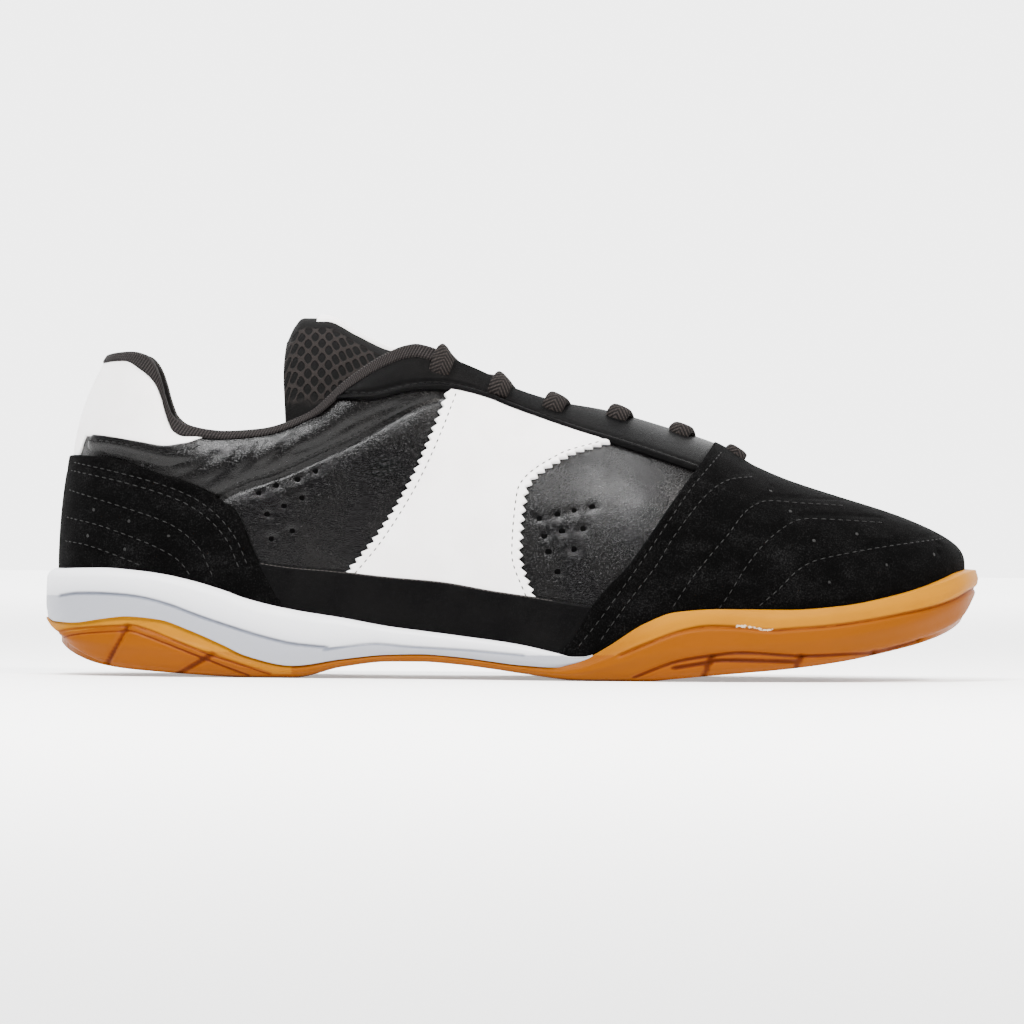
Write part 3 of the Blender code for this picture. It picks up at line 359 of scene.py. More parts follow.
# Ventilation holes of the quarter, from the side: the rear group, then the front one
VENT_HOLES = [(83.1, 62.6), (77.4, 60.1), (70.9, 57.9), (65.9, 55.7), (79.0, 54.5),
              (73.1, 52.0), (68.4, 49.2), (75.6, 44.2), (69.9, 42.0),
              (166.3, 52.1), (160.6, 51.0), (155.8, 49.8), (150.2, 48.7), (163.5, 45.8),
              (157.5, 44.9), (152.1, 43.7), (160.8, 39.4), (153.3, 38.6), (156.2, 32.6)]
COUNTER_DOTS = [(15.3, 50.3), (26.3, 46.9), (38.5, 42.7), (13.5, 42.4), (25.1, 38.4)]
TOE_DOTS = [(220.5, 57.6), (226.3, 51.5), (233.3, 42.7), (246.5, 44.8), (255.6, 35.6),
            (270.6, 38.7), (237.9, 30.1)]


def bulk(point):
    """How far the padding under the collar pushes the skin out."""
    x, z = point[..., 0], point[..., 2]
    low = PANEL_LOW(x)
    t = np.clip((z - low) / (shell_top(x) - low), 0, 1)
    return ROLL(x) * np.sin(math.pi * t) ** 0.8


def skin(ring, turn, lift=0.0):
    """Points on the outside of the upper, padding and all, or some way over it."""
    return upper_point(ring, turn, bulk(upper_point(ring, turn, 0.0)) + lift)


def rounded(share):
    """A quarter round: 0 at an edge, 1 from a share of 1 on."""
    return np.sqrt(1 - (1 - np.clip(share, 0, 1)) ** 2)


def eased(count):
    """Shares from 0 to 1 that stand closer together at both ends."""
    return (1 - np.cos(np.pi * np.linspace(0, 1, count))) / 2


# %% Meshes from grids
def numbered(grid):
    """The number of each point in a grid of points."""
    return np.arange(grid.shape[0] * grid.shape[1]).reshape(grid.shape[:2])


def quads(index, wrap=False):
    """Faces between the neighbours of a grid of point numbers."""
    if wrap:
        index = np.concatenate([index, index[:1]])
    a, b, c, d = index[:-1, :-1], index[1:, :-1], index[1:, 1:], index[:-1, 1:]
    return np.stack([a, b, c, d], axis=-1).reshape(-1, 4).tolist()


def in_scene(name, data):
    """A new object of the scene, from a mesh, a lamp or a camera."""
    made = bpy.data.objects.new(name, data)
    bpy.context.scene.collection.objects.link(made)
    return made


def piece(name, points, faces, finish, uv=None, values=None, merge=3e-6):
    """A smooth closed mesh, moved over the origin, with its doubles merged."""
    mesh = bpy.data.meshes.new(name)
    mesh.from_pydata((points.reshape(-1, 3) - SHIFT).tolist(), [], faces)
    for label, column in (values or {}).items():
        store = mesh.attributes.new(label, "FLOAT", "POINT")
        store.data.foreach_set("value", np.ascontiguousarray(column, np.float32).ravel())
    if uv is not None:
        corner = np.empty(len(mesh.loops), np.int32)
        mesh.loops.foreach_get("vertex_index", corner)
        layer = mesh.uv_layers.new(name="UVMap")
        layer.data.foreach_set("uv", uv.reshape(-1, 2)[corner].astype(np.float32).ravel())
    work = bmesh.new()
    work.from_mesh(mesh)
    bmesh.ops.remove_doubles(work, verts=work.verts, dist=merge)
    bmesh.ops.dissolve_degenerate(work, edges=work.edges, dist=1e-8)
    bmesh.ops.recalc_face_normals(work, faces=work.faces)
    work.to_mesh(mesh)
    work.free()
    mesh.shade_smooth()
    mesh.materials.append(finish)
    made = in_scene(name, mesh)
    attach(made, "root")
    return made


def sheet_faces(count, rows):
    """Faces of two grids, one over the other, and of the rims between them."""
    top = np.arange(count * rows).reshape(count, rows)
    under = top + count * rows
    faces = quads(top) + quads(under)
    for k in (0, -1):
        faces += quads(np.stack([top[:, k], under[:, k]], axis=1))
    for k in (0, -1):
        faces += quads(np.stack([top[k], under[k]], axis=1))
    return faces


def tree_of(made):
    mesh = made.data
    points = [v.co + Vector(SHIFT) for v in mesh.vertices]
    return BVHTree.FromPolygons(points, [p.vertices[:] for p in mesh.polygons])


def tree_of_grid(grid):
    return BVHTree.FromPolygons(grid.reshape(-1, 3).tolist(), quads(numbered(grid), True))


def run(pairs, step=0.4 * MM):
    """Points evenly spaced along a smooth line through (x, z) pairs in millimetres."""
    knots = np.array(pairs, float) * MM
    padded = extended(knots)
    t = np.linspace(0, 1, 12, endpoint=False)[None, :, None]
    around = [padded[k:len(knots) - 1 + k][:, None] for k in range(4)]
    fine = np.vstack([spline(*around, t).reshape(-1, 2), knots[-1]])
    length = np.append(0, np.cumsum(np.linalg.norm(np.diff(fine, axis=0), axis=1)))
    at = np.linspace(0, length[-1], max(2, int(length[-1] / step)))
    return np.stack([np.interp(at, length, fine[:, k]) for k in (0, 1)], axis=1)


def cast(tree, side, pairs):
    """The points, and the normals there, of a surface behind some (x, z) places."""
    found, normals = [], []
    for x, z in pairs:
        hit, normal = tree.ray_cast(Vector((x, side * 0.2, z)), Vector((0, -side, 0)))[:2]
        if hit is None:
            hit, normal = tree.find_nearest(Vector((x, side * 0.01, z)))[:2]
        if normal.y * side < 0:
            normal = -normal
        found.append(hit[:])
        normals.append(normal[:])
    return np.array(found), np.array(normals)


def distance_to(lines, points):
    """How far each point is from the nearest of some traced points."""
    flat = points.reshape(-1, 3)
    index = kdtree.KDTree(len(lines))
    for i, place in enumerate(lines):
        index.insert(place, i)
    index.balance()
    return np.array([index.find(p)[2] for p in flat]).reshape(points.shape[:-1])


def traced(tree, runs):
    """Side lines cast onto both sides of a surface, each as an array of points."""
    return [cast(tree, s, run(pairs))[0] for pairs in runs for s in (LATERAL, MEDIAL)]


def both_sides(tree, runs):
    return np.concatenate(traced(tree, runs))


base_ring = whole_ring()
base_turn = rim_turn(base_ring)[:, None] * np.linspace(0, 1, 60)[None, :]
base_points = skin(base_ring, base_turn)
base_tree = tree_of_grid(base_points)
print("skin:", len(base_points), "stations")


# %% [markdown]
# ## Shader sums in plain Python
# A material's pattern is arithmetic on numbers that change over the surface. A small class
# wraps a socket, so that `1 - mask * 2` writes its Math nodes by itself. Colours go through
# Mix nodes, because a Math node would turn them grey.

# %% A socket that does sums, and a material that makes nodes
class Wire:
    def __init__(self, paint, socket):
        self.paint, self.socket = paint, socket

    def __add__(self, other):
        return self.paint.sum("ADD", self, other)

    def __sub__(self, other):
        return self.paint.sum("SUBTRACT", self, other)

    def __rsub__(self, other):
        return self.paint.sum("SUBTRACT", other, self)

    def __mul__(self, other):
        return self.paint.sum("MULTIPLY", self, other)

    def __truediv__(self, other):
        return self.paint.sum("DIVIDE", self, other)

    def __pow__(self, other):
        return self.paint.sum("POWER", self, other)

    __radd__ = __add__
    __rmul__ = __mul__


class Paint:
    """One material: its nodes, and the shorthand for making them."""

    def __init__(self, name):
        self.material = bpy.data.materials.new(name)
        self.material.use_nodes = True
        self.tree = self.material.node_tree
        self.shader = self.tree.nodes["Principled BSDF"]

    def feed(self, slot, value):
        if isinstance(value, Wire):
            self.tree.links.new(value.socket, slot)
        elif slot.type == "RGBA":
            slot.default_value = (*value[:3], 1.0)
        else:
            slot.default_value = value

    def node(self, kind, settings=None, values=None, output=0):
        made = self.tree.nodes.new(kind)
        settings = dict(settings or {})
        for i, (place, colour) in enumerate(settings.pop("stops", [])):
            stops = made.color_ramp.elements
            stop = stops[i] if i < len(stops) else stops.new(place)
            stop.position, stop.color = place, (*colour, 1.0)
        for key, value in settings.items():
            setattr(made, key, value)
        for key, value in (values or {}).items():
            self.feed(made.inputs[key], value)
        return Wire(self, made.outputs[output])

    def sum(self, operation, a, b=0.0, c=0.0):
        return self.node("ShaderNodeMath", {"operation": operation}, {0: a, 1: b, 2: c})

    def where(self, value, low, high):
        """0 below low, 1 above high, and a soft step between them."""
        settings = {"interpolation_type": "SMOOTHSTEP"}
        return self.node("ShaderNodeMapRange", settings, {0: value, 1: low, 2: high})

    def place(self, stretch=(1, 1, 1)):
        """Object coordinates in millimetres, squeezed along the axes."""
        spot = self.node("ShaderNodeTexCoord", output="Object")
        size = [1000.0 / s for s in stretch]
        return self.node("ShaderNodeVectorMath", {"operation": "MULTIPLY"}, {0: spot, 1: size})

    def noise(self, size, detail=2.0, rough=0.5, spot=None):
        values = {"Vector": spot or self.place(), "Scale": 1.0 / size, "Detail": detail,
                  "Roughness": rough}
        return self.node("ShaderNodeTexNoise", None, values)

    def cells(self, size, spot, feature="DISTANCE_TO_EDGE", output="Distance"):
        values = {"Vector": spot, "Scale": 1.0 / size}
        return self.node("ShaderNodeTexVoronoi", {"feature": feature}, values, output)

    def moved(self, spot, by, amount):
        """Coordinates pushed about by a noise, so that a pattern loses its regularity."""
        scaled = self.node("ShaderNodeVectorMath", {"operation": "SCALE"},
                           {0: by, "Scale": amount})
        return self.node("ShaderNodeVectorMath", {"operation": "ADD"}, {0: spot, 1: scaled})

    def split(self, spot):
        """The first two numbers of a vector."""
        parts = self.tree.nodes.new("ShaderNodeSeparateXYZ")
        self.feed(parts.inputs[0], spot)
        return Wire(self, parts.outputs[0]), Wire(self, parts.outputs[1])

    def mix(self, a, b, factor):
        return self.node("ShaderNodeMix", {"data_type": "RGBA"}, {0: factor, 6: a, 7: b}, 2)

    def ramp(self, value, stops):
        return self.node("ShaderNodeValToRGB", {"stops": stops}, {0: value})

    def bump(self, height, depth, over=None):
        """A bump of some depth in millimetres."""
        values = {"Height": height, "Distance": depth * MM, "Strength": 1.0}
        if over:
            values["Normal"] = over
        return self.node("ShaderNodeBump", None, values)

    def attribute(self, name):
        return self.node("ShaderNodeAttribute", {"attribute_name": name}, None, "Fac")

    def done(self, values):
        for key, value in values.items():
            self.feed(self.shader.inputs[key], value)
        return self.material


# %% [markdown]
# ## Leathers
# Smooth leather has a fine grain of closed pebbles, a few tenths of a millimetre wide, and
# a satin coat that catches broad soft lights. A cell pattern whose coordinates a noise has
# pushed about gives the pebbles. The grain also scatters the light a little unevenly, so
# the roughness varies with a slower noise.

# %% Smooth leather, black and white
def grain(paint, size, stretch):
    """The pebbled grain: 1 on a pebble, 0 in the creases between them."""
    spot = paint.moved(paint.place(stretch), paint.noise(size * 1.7, 1.0), size * 1.3)
    pebble = paint.where(paint.cells(size, spot), 0.0, 0.28)
    return pebble * 0.75 + paint.noise(size * 0.3, 1.0) * 0.35


def smooth_leather(name, dark, light, rough, size, depth, stretch=(1, 1, 1), gloss=0.5):
    paint = Paint(name)
    pebble = grain(paint, size, stretch)
    slow = paint.noise(14.0, 2.0)
    patch = paint.where(slow + pebble * 0.18, 0.35, 0.85)
    crease = paint.noise(2.6, 3.0, 0.6, paint.place((2.6, 1.0, 1.0)))
    normal = paint.bump(crease, depth * 1.6)
    return paint.done({
        "Base Color": paint.mix(dark, light, patch),
        "Roughness": rough + slow * 0.16 - pebble * 0.06,
        "Specular IOR Level": gloss,
        "Normal": paint.bump(pebble, depth, normal),
    })


INK = (0.0009, 0.0009, 0.0010)
black_leather = smooth_leather("black_leather_grain", INK, (0.0022, 0.0020, 0.0020),
                               0.215, 0.50, 0.037, (1.7, 1, 1), 0.16)
facing_leather = smooth_leather("facing_leather_grain", INK, (0.0020, 0.0020, 0.0020),
                                0.33, 0.36, 0.045, gloss=0.03)
white_leather = smooth_leather("white_leather_grain", (0.80, 0.775, 0.765),
                               (0.87, 0.855, 0.85), 0.46, 0.55, 0.045)


# %% [markdown]
# ## Suede
# Suede is the flesh side of the hide, brushed up. It has no shine. Each tuft of its nap
# stands at its own angle, which gives a salt and pepper speckle, and broader strokes
# where a hand has turned the nap over. Real suede has a little sheen at grazing angles;
# this material gives it none.

# %% Black suede
def suede(name):
    paint = Paint(name)
    tuft = paint.noise(0.42, 3.0, 0.75)
    stroke = paint.noise(7.0, 2.0, 0.55, paint.place((1.6, 1.0, 1.0)))
    bright = paint.where(tuft + stroke * 0.30, 0.64, 0.95)
    return paint.done({
        "Base Color": paint.mix((0.0003, 0.0003, 0.0003), (0.0100, 0.0100, 0.0102), bright),
        "Roughness": 0.92,
        "Specular IOR Level": 0.03,
        "Normal": paint.bump(tuft, 0.30),
    })


black_suede = suede("black_suede_nap")


# %% [markdown]
# ## Rubber and foam
# Gum rubber is clear amber right through, and its moulded skin is satin. Its colour is
# painted darker in grooves and on faces that lean in, as painted shade, and lighter at its
# lip and towards the top of its wall, as painted light. The foam above it has a skin of its
# own, cool white, with fine pits, and painted shade greys it in its grooves, below its
# groove line and down its wall.

# %% Gum rubber and white foam
def gum_rubber():
    paint = Paint("gum_rubber_moulded")
    # The attribute read here is painted shade and light from the sole's shape: dark in grooves
    # and on lower faces, light at the lip. The noise adds a random tone.
    painted_shading = paint.attribute("painted_shading") + (paint.noise(9.0, 2.0) - 0.5) * 0.16
    stops = [(0.0, (0.262, 0.103, 0.0001)), (0.35, (0.132, 0.037, 0.0001)),
             (0.70, (0.150, 0.038, 0.0004)), (1.0, (0.060, 0.010, 0.0002))]
    fleck = paint.noise(0.9, 2.0)
    patchy = paint.where(paint.noise(1.1, 3.0) * 1.2 + paint.attribute("glue"), 1.22, 1.42)
    return paint.done({
        "Base Color": paint.mix(paint.ramp(painted_shading, stops), (0.50, 0.42, 0.30), patchy),
        "Roughness": 0.40 + fleck * 0.14,
        "Specular IOR Level": 0.05,
        "Normal": paint.bump(fleck + paint.noise(4.0, 2.0) * 2.0, 0.03),
    })


def white_foam():
    paint = Paint("white_foam_skin")
    # The attribute read here is painted shade: it greys the foam in its grooves, below the groove
    # line and down its wall, as if lit from above.
    painted_shading = paint.attribute("painted_shading")
    pits = paint.where(paint.noise(0.7, 2.0), 0.30, 0.62)
    dirt = paint.where(paint.noise(5.0, 4.0, 0.7), 0.60, 0.85) * 0.10
    foam_with_painted_shade = paint.mix((0.70, 0.71, 0.735), (0.10, 0.11, 0.14), painted_shading)
    return paint.done({
        "Base Color": paint.mix(foam_with_painted_shade, (0.55, 0.54, 0.53), dirt),
        "Roughness": 0.52 - pits * 0.06,
        "Specular IOR Level": 0.3,
        "Normal": paint.bump(pits, 0.02),
    })


gum = gum_rubber()
foam = white_foam()


# %% [markdown]
# ## Cloths
# The collar's tape and the lace are woven: ribs run across them, and each thread dips under
# the next. Their patterns follow the piece, so they read its UV map, which is laid out in
# millimetres. The tongue is a spacer mesh with open cells in staggered rows.

# %% Tape, lace, tongue mesh and lining
def wave(paint, value, pitch):
    """A smooth wave between 0 and 1 with some pitch."""
    return paint.sum("SINE", value * (2 * math.pi / pitch)) * 0.5 + 0.5


def woven(name, dark, light, rib, thread, lean=0.5):
    """A narrow woven band: chevron ribs, each of them crossed by its threads."""
    paint = Paint(name)
    u, v = paint.split(paint.node("ShaderNodeUVMap"))
    slant = u + paint.sum("ABSOLUTE", v) * lean
    ribs = wave(paint, slant, rib)
    threads = wave(paint, v + paint.noise(1.5) * 0.2, thread)
    height = ribs * (threads * 0.45 + 0.55)
    fuzz = paint.noise(0.25, 2.0)
    return paint.done({
        "Base Color": paint.mix(dark, light, paint.where(height + fuzz * 0.4, 0.15, 1.25)),
        "Roughness": 0.88,
        "Specular IOR Level": 0.12,
        "Normal": paint.bump(height + fuzz * 0.25, 0.24),
    })


collar_tape = woven("collar_tape_weave", (0.0015, 0.0012, 0.0012),
                    (0.022, 0.0185, 0.018), 0.95, 0.8)
lace_cloth = woven("lace_weave", (0.0012, 0.0010, 0.0009),
                   (0.020, 0.0160, 0.0148), 1.05, 0.75, 0.8)


def tongue_cloth():
    """Open cells in staggered rows, in a knitted face; the attribute says where it is plain."""
    paint = Paint("tongue_spacer_mesh")
    u, v = paint.split(paint.node("ShaderNodeUVMap"))

    def cell(u, v):
        along = paint.sum("ABSOLUTE", paint.sum("FLOORED_MODULO", u, 4.2) - 2.1)
        across = paint.sum("ABSOLUTE", paint.sum("FLOORED_MODULO", v, 5.0) - 2.5)
        return (along / 1.22) ** 1.5 + (across / 1.75) ** 1.5

    far = paint.sum("MINIMUM", cell(u, v), cell(u + 2.1, v + 2.5))
    plain = paint.attribute("plain")
    solid_part = paint.sum("MAXIMUM", paint.where(far, 0.80, 1.12), plain)
    knit = wave(paint, u + v, 0.55) * wave(paint, u - v, 0.55)
    cover = paint.mix((0.0125, 0.0103, 0.0096), (0.0040, 0.0034, 0.0032), knit)
    cover = paint.mix(cover, (0.0012, 0.0011, 0.0011), plain)
    return paint.done({
        "Base Color": paint.mix((0.001, 0.001, 0.001), cover, solid_part),
        "Roughness": 0.86,
        "Specular IOR Level": 0.10,
        "Normal": paint.bump(solid_part + knit * 0.08, 0.55),
    })


def plain_cloth(name, dark, light, size=0.5):
    paint = Paint(name)
    spot = paint.moved(paint.place(), paint.noise(0.9), 0.2)
    knit = paint.cells(size, spot, "F1")
    return paint.done({
        "Base Color": paint.mix(light, dark, paint.where(knit, 0.1, 0.8)),
        "Roughness": 0.93,
        "Specular IOR Level": 0.2,
        "Normal": paint.bump(1.0 - knit, 0.12),
    })


mesh_cloth = tongue_cloth()
lining_cloth = plain_cloth("lining_cloth", (0.001, 0.001, 0.001), (0.006, 0.0058, 0.0058))
sock_cloth = plain_cloth("insole_cloth", (0.002, 0.002, 0.0022), (0.011, 0.011, 0.012), 0.4)


def thread(name, colour):
    paint = Paint(name)
    twist = wave(paint, paint.split(paint.place())[0], 0.35)
    return paint.done({
        "Base Color": paint.mix(tuple(c * 0.6 for c in colour), colour, twist),
        "Roughness": 0.7,
        "Specular IOR Level": 0.15,
        "Normal": paint.bump(twist, 0.05),
    })


grey_thread = thread("grey_thread", (0.012, 0.012, 0.0118))
black_thread = thread("black_thread", (0.0035, 0.0035, 0.0035))
dark_thread = thread("dark_grey_thread", (0.036, 0.033, 0.031))


# A near-black disc stands in for each vent hole: partly the black lining seen through it, partly
# painted shade inside it.
def deep_black():
    paint = Paint("punched_hole")
    return paint.done({"Base Color": (0.0006, 0.0006, 0.0006), "Roughness": 0.95,
                       "Specular IOR Level": 0.02})


hole_black = deep_black()


# %% [markdown]
# ## The leather upper and its lining
# The quarter and the vamp are one skin of leather over a cloth lining, padded at the
# collar. In the source this is a plain hollow shell. Here the outside gets its seams,
# the roll of the padding and the small creases that the collar has where it bends round
# the heel. They are laid in as soft troughs.

# %% Troughs
def trough(lines, points, width, depth):
    far = distance_to(lines, points)
    return -depth * np.exp(-((far / width) ** 2))


def dimpled(relief, spots, points, width, depth):
    """A relief with a dimple on both sides at each (x, z) spot in millimetres."""
    for side in (LATERAL, MEDIAL):
        centres = cast(base_tree, side, np.array(spots) * MM)[0]
        relief = relief + trough(centres, points, width, depth)
    return relief


def outside_relief(points):
    seams = both_sides(base_tree, [COLLAR_SEAM])
    relief = trough(seams, points, 0.75 * MM, 1.0 * MM)
    relief += trough(seams, points, 3.0 * MM, 0.6 * MM)
    for pairs in WRINKLES:
        relief += trough(both_sides(base_tree, [pairs]), points, 1.1 * MM, 0.40 * MM)
    return dimpled(relief, VENT_HOLES, points, 1.3 * MM, 0.50 * MM)


def loop_piece(name, grid, finish, sealed=None, rim=None, wrap=True, **more):
    """A closed skin from one loop of points at each station; rim is where its edge turns."""
    index = numbered(grid)
    index = np.concatenate([index, index[:, :1]], axis=1)
    if wrap:
        index = np.concatenate([index, index[:1]])
    faces = []
    for j in range(grid.shape[1]):
        strip = quads(index[:, j:j + 2])
        if sealed is not None and j == rim:
            after = np.roll(sealed, -1)
            strip = [f for i, f in enumerate(strip) if not (sealed[i] and after[i])]
        faces += strip
    if not wrap:
        faces += [tuple(index[0, :-1]), tuple(index[-1, :-1])]
    return piece(name, grid, faces, finish, **more)


def skirted(ring, turn, lift, depth):
    """Rows of the skin, with two rows below them that go down into the sole."""
    rows = skin(ring, turn, lift)
    low = [rows[:, :1] - np.array([0, 0, depth * k]) for k in (1.0, 0.5)]
    return np.concatenate(low + [rows], axis=1)


OUT_ROWS, IN_ROWS = 104, 16
turn = rim_turn(base_ring)[:, None] * np.linspace(0, 1, OUT_ROWS)[None, :]
plain = skin(base_ring, turn)
relief = outside_relief(plain)
outer = skirted(base_ring, turn, relief, 3 * MM)
turn = rim_turn(base_ring)[:, None] * np.linspace(1, 0, IN_ROWS)[None, :]
inner = skin(base_ring, turn, -1.1 * MM)
sealed = base_ring.spine[:, 0] / LENGTH >= THROAT_FRONT - 1e-6
grid = np.concatenate([outer, inner], axis=1)
upper = loop_piece("upper_leather", grid, black_leather, sealed, OUT_ROWS + 1)
upper_tree = tree_of(upper)
print("upper:", len(upper.data.polygons), "faces")

# %% Lining
LINING_ROWS = 34
share = np.linspace(0, 1, LINING_ROWS)
collar = 1 - fade(base_ring.spine[:, 0] / LENGTH, 0.30, 0.42)
pad = 2.6 * MM * np.sin(math.pi * np.clip((share - 0.35) / 0.75, 0, 1))
turn = rim_turn(base_ring)[:, None] * share[None, :]
face = upper_point(base_ring, turn, -UPPER_WALL - collar[:, None] * pad[None, :])
back = skin(base_ring, turn[:, ::-1], -1.2 * MM)
lining = loop_piece("lining", np.concatenate([face, back], axis=1), lining_cloth, sealed,
                    LINING_ROWS - 1)
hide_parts("upper")
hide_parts("upper")
print("lining:", len(lining.data.polygons), "faces")


# %% [markdown]
# ## Sewn panels
# A panel is cut flat and sewn on, so it is a ply of even thickness with a soft cut edge.
# Its points stand at a small height over the skin, and fall away to nothing in the last
# millimetre before an edge. The rows of stitches pull it down, and it swells between them.

# %% Panels over the skin
def dense(line, times=5):
    t = np.arange(times) / times
    fine = line[:-1, None] * (1 - t)[None, :, None] + line[1:, None] * t[None, :, None]
    return fine.reshape(-1, 3)


def panel(name, ring, low, high, finish, rows=44, base=0.3 * MM, ply=PLY, skirt=0.0,
          edges=("high",), lines=(), soft=1.0 * MM, extra=None, dots=(), sealed=None):
    turn = low[:, None] + (high - low)[:, None] * eased(rows)
    flat = skin(ring, turn, base)
    borders = {"high": flat[:, -1], "low": flat[:, 0], "first": flat[0], "last": flat[-1]}
    lift = np.full(turn.shape, ply)
    if edges:
        border = np.concatenate([dense(borders[e] if isinstance(e, str) else flat[e, -1])
                                 for e in edges])
        near = np.clip(distance_to(border, flat) / soft, 0, 1)
        lift = ply * rounded(near)
        for runs, width, depth in lines:
            lift = lift + trough(both_sides(base_tree, runs), flat, width, depth) * near
    if dots:
        lift = dimpled(lift, dots, flat, 0.8 * MM, 0.5 * MM)
    if extra is not None:
        lift = lift + extra(flat)
    top = skirted(ring, turn, base + lift, skirt)
    turn = low[:, None] + (high - low)[:, None] * np.linspace(1, 0, 8)
    under = skin(ring, turn, base - 0.6 * MM)
    under[:, -1, 2] -= skirt
    grid = np.concatenate([top, under], axis=1)
    return loop_piece(name, grid, finish, sealed, rows + 1, wrap=False)


# Stitch rows of the counter and of the toe, from the side
COUNTER_ROWS = [
    [(9.1, 64.6), (22.8, 61.6), (35.3, 58.3), (45.3, 54.4), (53, 49), (58.8, 42), (62, 35)],
    [(8, 62.2), (22.2, 59.2), (34.4, 55.9), (43.9, 52.2), (51, 47.3), (56.4, 41), (59.5, 34)],
    [(7.6, 56.2), (16.6, 53.5), (25.9, 50.7), (35.3, 47.6), (41.6, 44.5), (47.8, 38.9),
     (51.5, 31.5)],
    [(7.0, 47.9), (16.6, 45.7), (25.9, 42.6), (35.3, 38.9), (41.6, 35.1), (44.6, 31.4)],
    [(6.6, 40.7), (13.5, 39.5), (22.8, 36.4), (29.1, 33.9)],
]
TOE_ROWS = [
    [(205.4, 69.0), (204.3, 67.7), (196.3, 58.3), (188.7, 47.2), (180.1, 34.4),
     (169.7, 19.7), (163, 11)],
    [(214.4, 61.8), (208.2, 61.0), (203.1, 58.3), (198.2, 53.4), (191.1, 43.9),
     (185.3, 34.4), (177.4, 24.0), (169.6, 13)],
    [(241.9, 53.4), (229.7, 54.0), (220.5, 54.6), (216.2, 53.7), (211.9, 50.6),
     (207.6, 44.8), (202.4, 38.7), (196.3, 31.0), (191.1, 23.1)],
    [(253.8, 48.3), (239.1, 49.1), (229.7, 49.1), (223.8, 46.3), (217.7, 41.1),
     (212.5, 34.4), (208.2, 27.4), (204.9, 22.5)],
    [(273.7, 43.5), (259.9, 41.7), (247.1, 39.6), (234.2, 36.8), (228.1, 33.5),
     (222.9, 28.3), (217.3, 23.4)],
]
ring = heel_ring(COUNTER_END)
high = height_turn(ring, COUNTER_TOP(station_x(ring)))
counter = panel("heel_counter_suede", ring, np.zeros(len(high)), high, black_suede, 60,
                skirt=SKIRT, lines=[(COUNTER_ROWS, 0.9 * MM, 0.35 * MM)], ply=1.7 * MM,
                dots=COUNTER_DOTS)
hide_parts("heel_counter")
print("counter:", len(counter.data.polygons), "faces")

# %% Toe cap
along = places(CAP_START, TOE_CENTRE, 0.9 * MM)
sides = [ring_of(along, s, toe=TOE_FAN) for s in (LATERAL, MEDIAL)]
ring = joined(sides[0], Ring(*(rows[-2::-1] for rows in sides[1])))
x = station_x(ring)
rim = rim_turn(ring)
high = np.where(x < 206.3 * MM, height_turn(ring, TOE_BACK(x)), rim)
high = np.where(TOE_BACK(x) >= shell_top(x) - 0.5 * MM, rim, high)
count = int(np.sum(ring.spine[:len(x) // 2, 0] < (THROAT_FRONT - 0.001) * LENGTH))
cap = panel("toe_cap_suede", ring, np.zeros(len(high)), high, black_suede, 90,
            skirt=SKIRT, ply=1.6 * MM, lines=[(TOE_ROWS, 1.0 * MM, 0.38 * MM)],
            edges=(slice(0, count), slice(-count, None)), dots=TOE_DOTS,
            sealed=ring.spine[:, 0] / LENGTH >= THROAT_FRONT - 1e-6)
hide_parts("toe_cap")
print("toe cap:", len(cap.data.polygons), "faces")

# %% Side bands
def under_cap(flat):
    """A band is skived where the toe cap lies over it."""
    inside = TOE_BACK(flat[..., 0]) - flat[..., 2]
    front = fade(flat[..., 0], 150 * MM, 156 * MM)
    return -1.1 * MM * front * fade(inside, -0.5 * MM, 2.5 * MM)


bands = {}
for name, side in SIDES:
    ring = ring_of(places(*BAND_ENDS, 0.9 * MM), side)
    high = height_turn(ring, BAND_TOP(station_x(ring)))
    band = panel("side_band_" + name + "_leather", ring, np.zeros(len(high)), high,
                 facing_leather, 26, skirt=SKIRT, ply=1.5 * MM, soft=0.8 * MM,
                 extra=under_cap)
    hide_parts("side_band_" + name)
    bands[side] = band


# %% Eyestays
def seam_ridge(flat):
    """The folded edge: a cord of leather along the lower edge, and the sewn row above it."""
    far = distance_to(both_sides(base_tree, [EYESTAY_CORD]), flat)
    ridge = 0.65 * MM * np.exp(-((far - 1.2 * MM) / (0.7 * MM)) ** 2)
    groove = 0.45 * MM * np.exp(-((far - 2.7 * MM) / (0.5 * MM)) ** 2)
    covered = fade(TOE_BACK(flat[..., 0]) - flat[..., 2], -1.2 * MM, 0.6 * MM)
    return (ridge - groove) * (1 - covered) - 0.7 * MM * covered


stays = {}
for name, side in SIDES:
    ring = ring_of(places(*STAY_ENDS, 0.8 * MM), side)
    low = height_turn(ring, EYESTAY_LOW(station_x(ring)))
    stay = panel("eyestay_" + name + "_leather", ring, low, rim_turn(ring), facing_leather,
                 36, ply=1.0 * MM, edges=("low",), extra=seam_ridge)
    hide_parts("eyestay_" + name)
    stays[side] = stay
    print(stay.name, len(stay.data.polygons), "faces")

# %% Heel tab
ring = heel_ring(TAB_END, 0.8 * MM)
rim_x = section(ring).rim_x
rear = 1 - fade(rim_x, 19.6 * MM, 20.6 * MM)
low = height_turn(ring, TAB_BOTTOM(rim_x) - 8.0 * MM * rear)
tab = panel("heel_tab_leather", ring, low, rim_turn(ring), white_leather, 30, ply=0.6 * MM,
            edges=("low",), base=0.2 * MM)
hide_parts("heel_tab")
print("heel tab:", len(tab.data.polygons), "faces")


def strip_fall(flat):
    below = (TAB_BOTTOM(flat[..., 0]) - flat[..., 2]) / (5.5 * MM)
    end = fade(flat[..., 0], 38 * MM, 49 * MM)
    round_end = 13.2 * MM + 1.6 * MM * (1.6 * below - 0.9) ** 2
    start = 1 - fade(flat[..., 0] - round_end, -0.5 * MM, 0.5 * MM)
    return -1.2 * MM * np.maximum(np.maximum(fade(below, 0.40, 1.0), end), start)


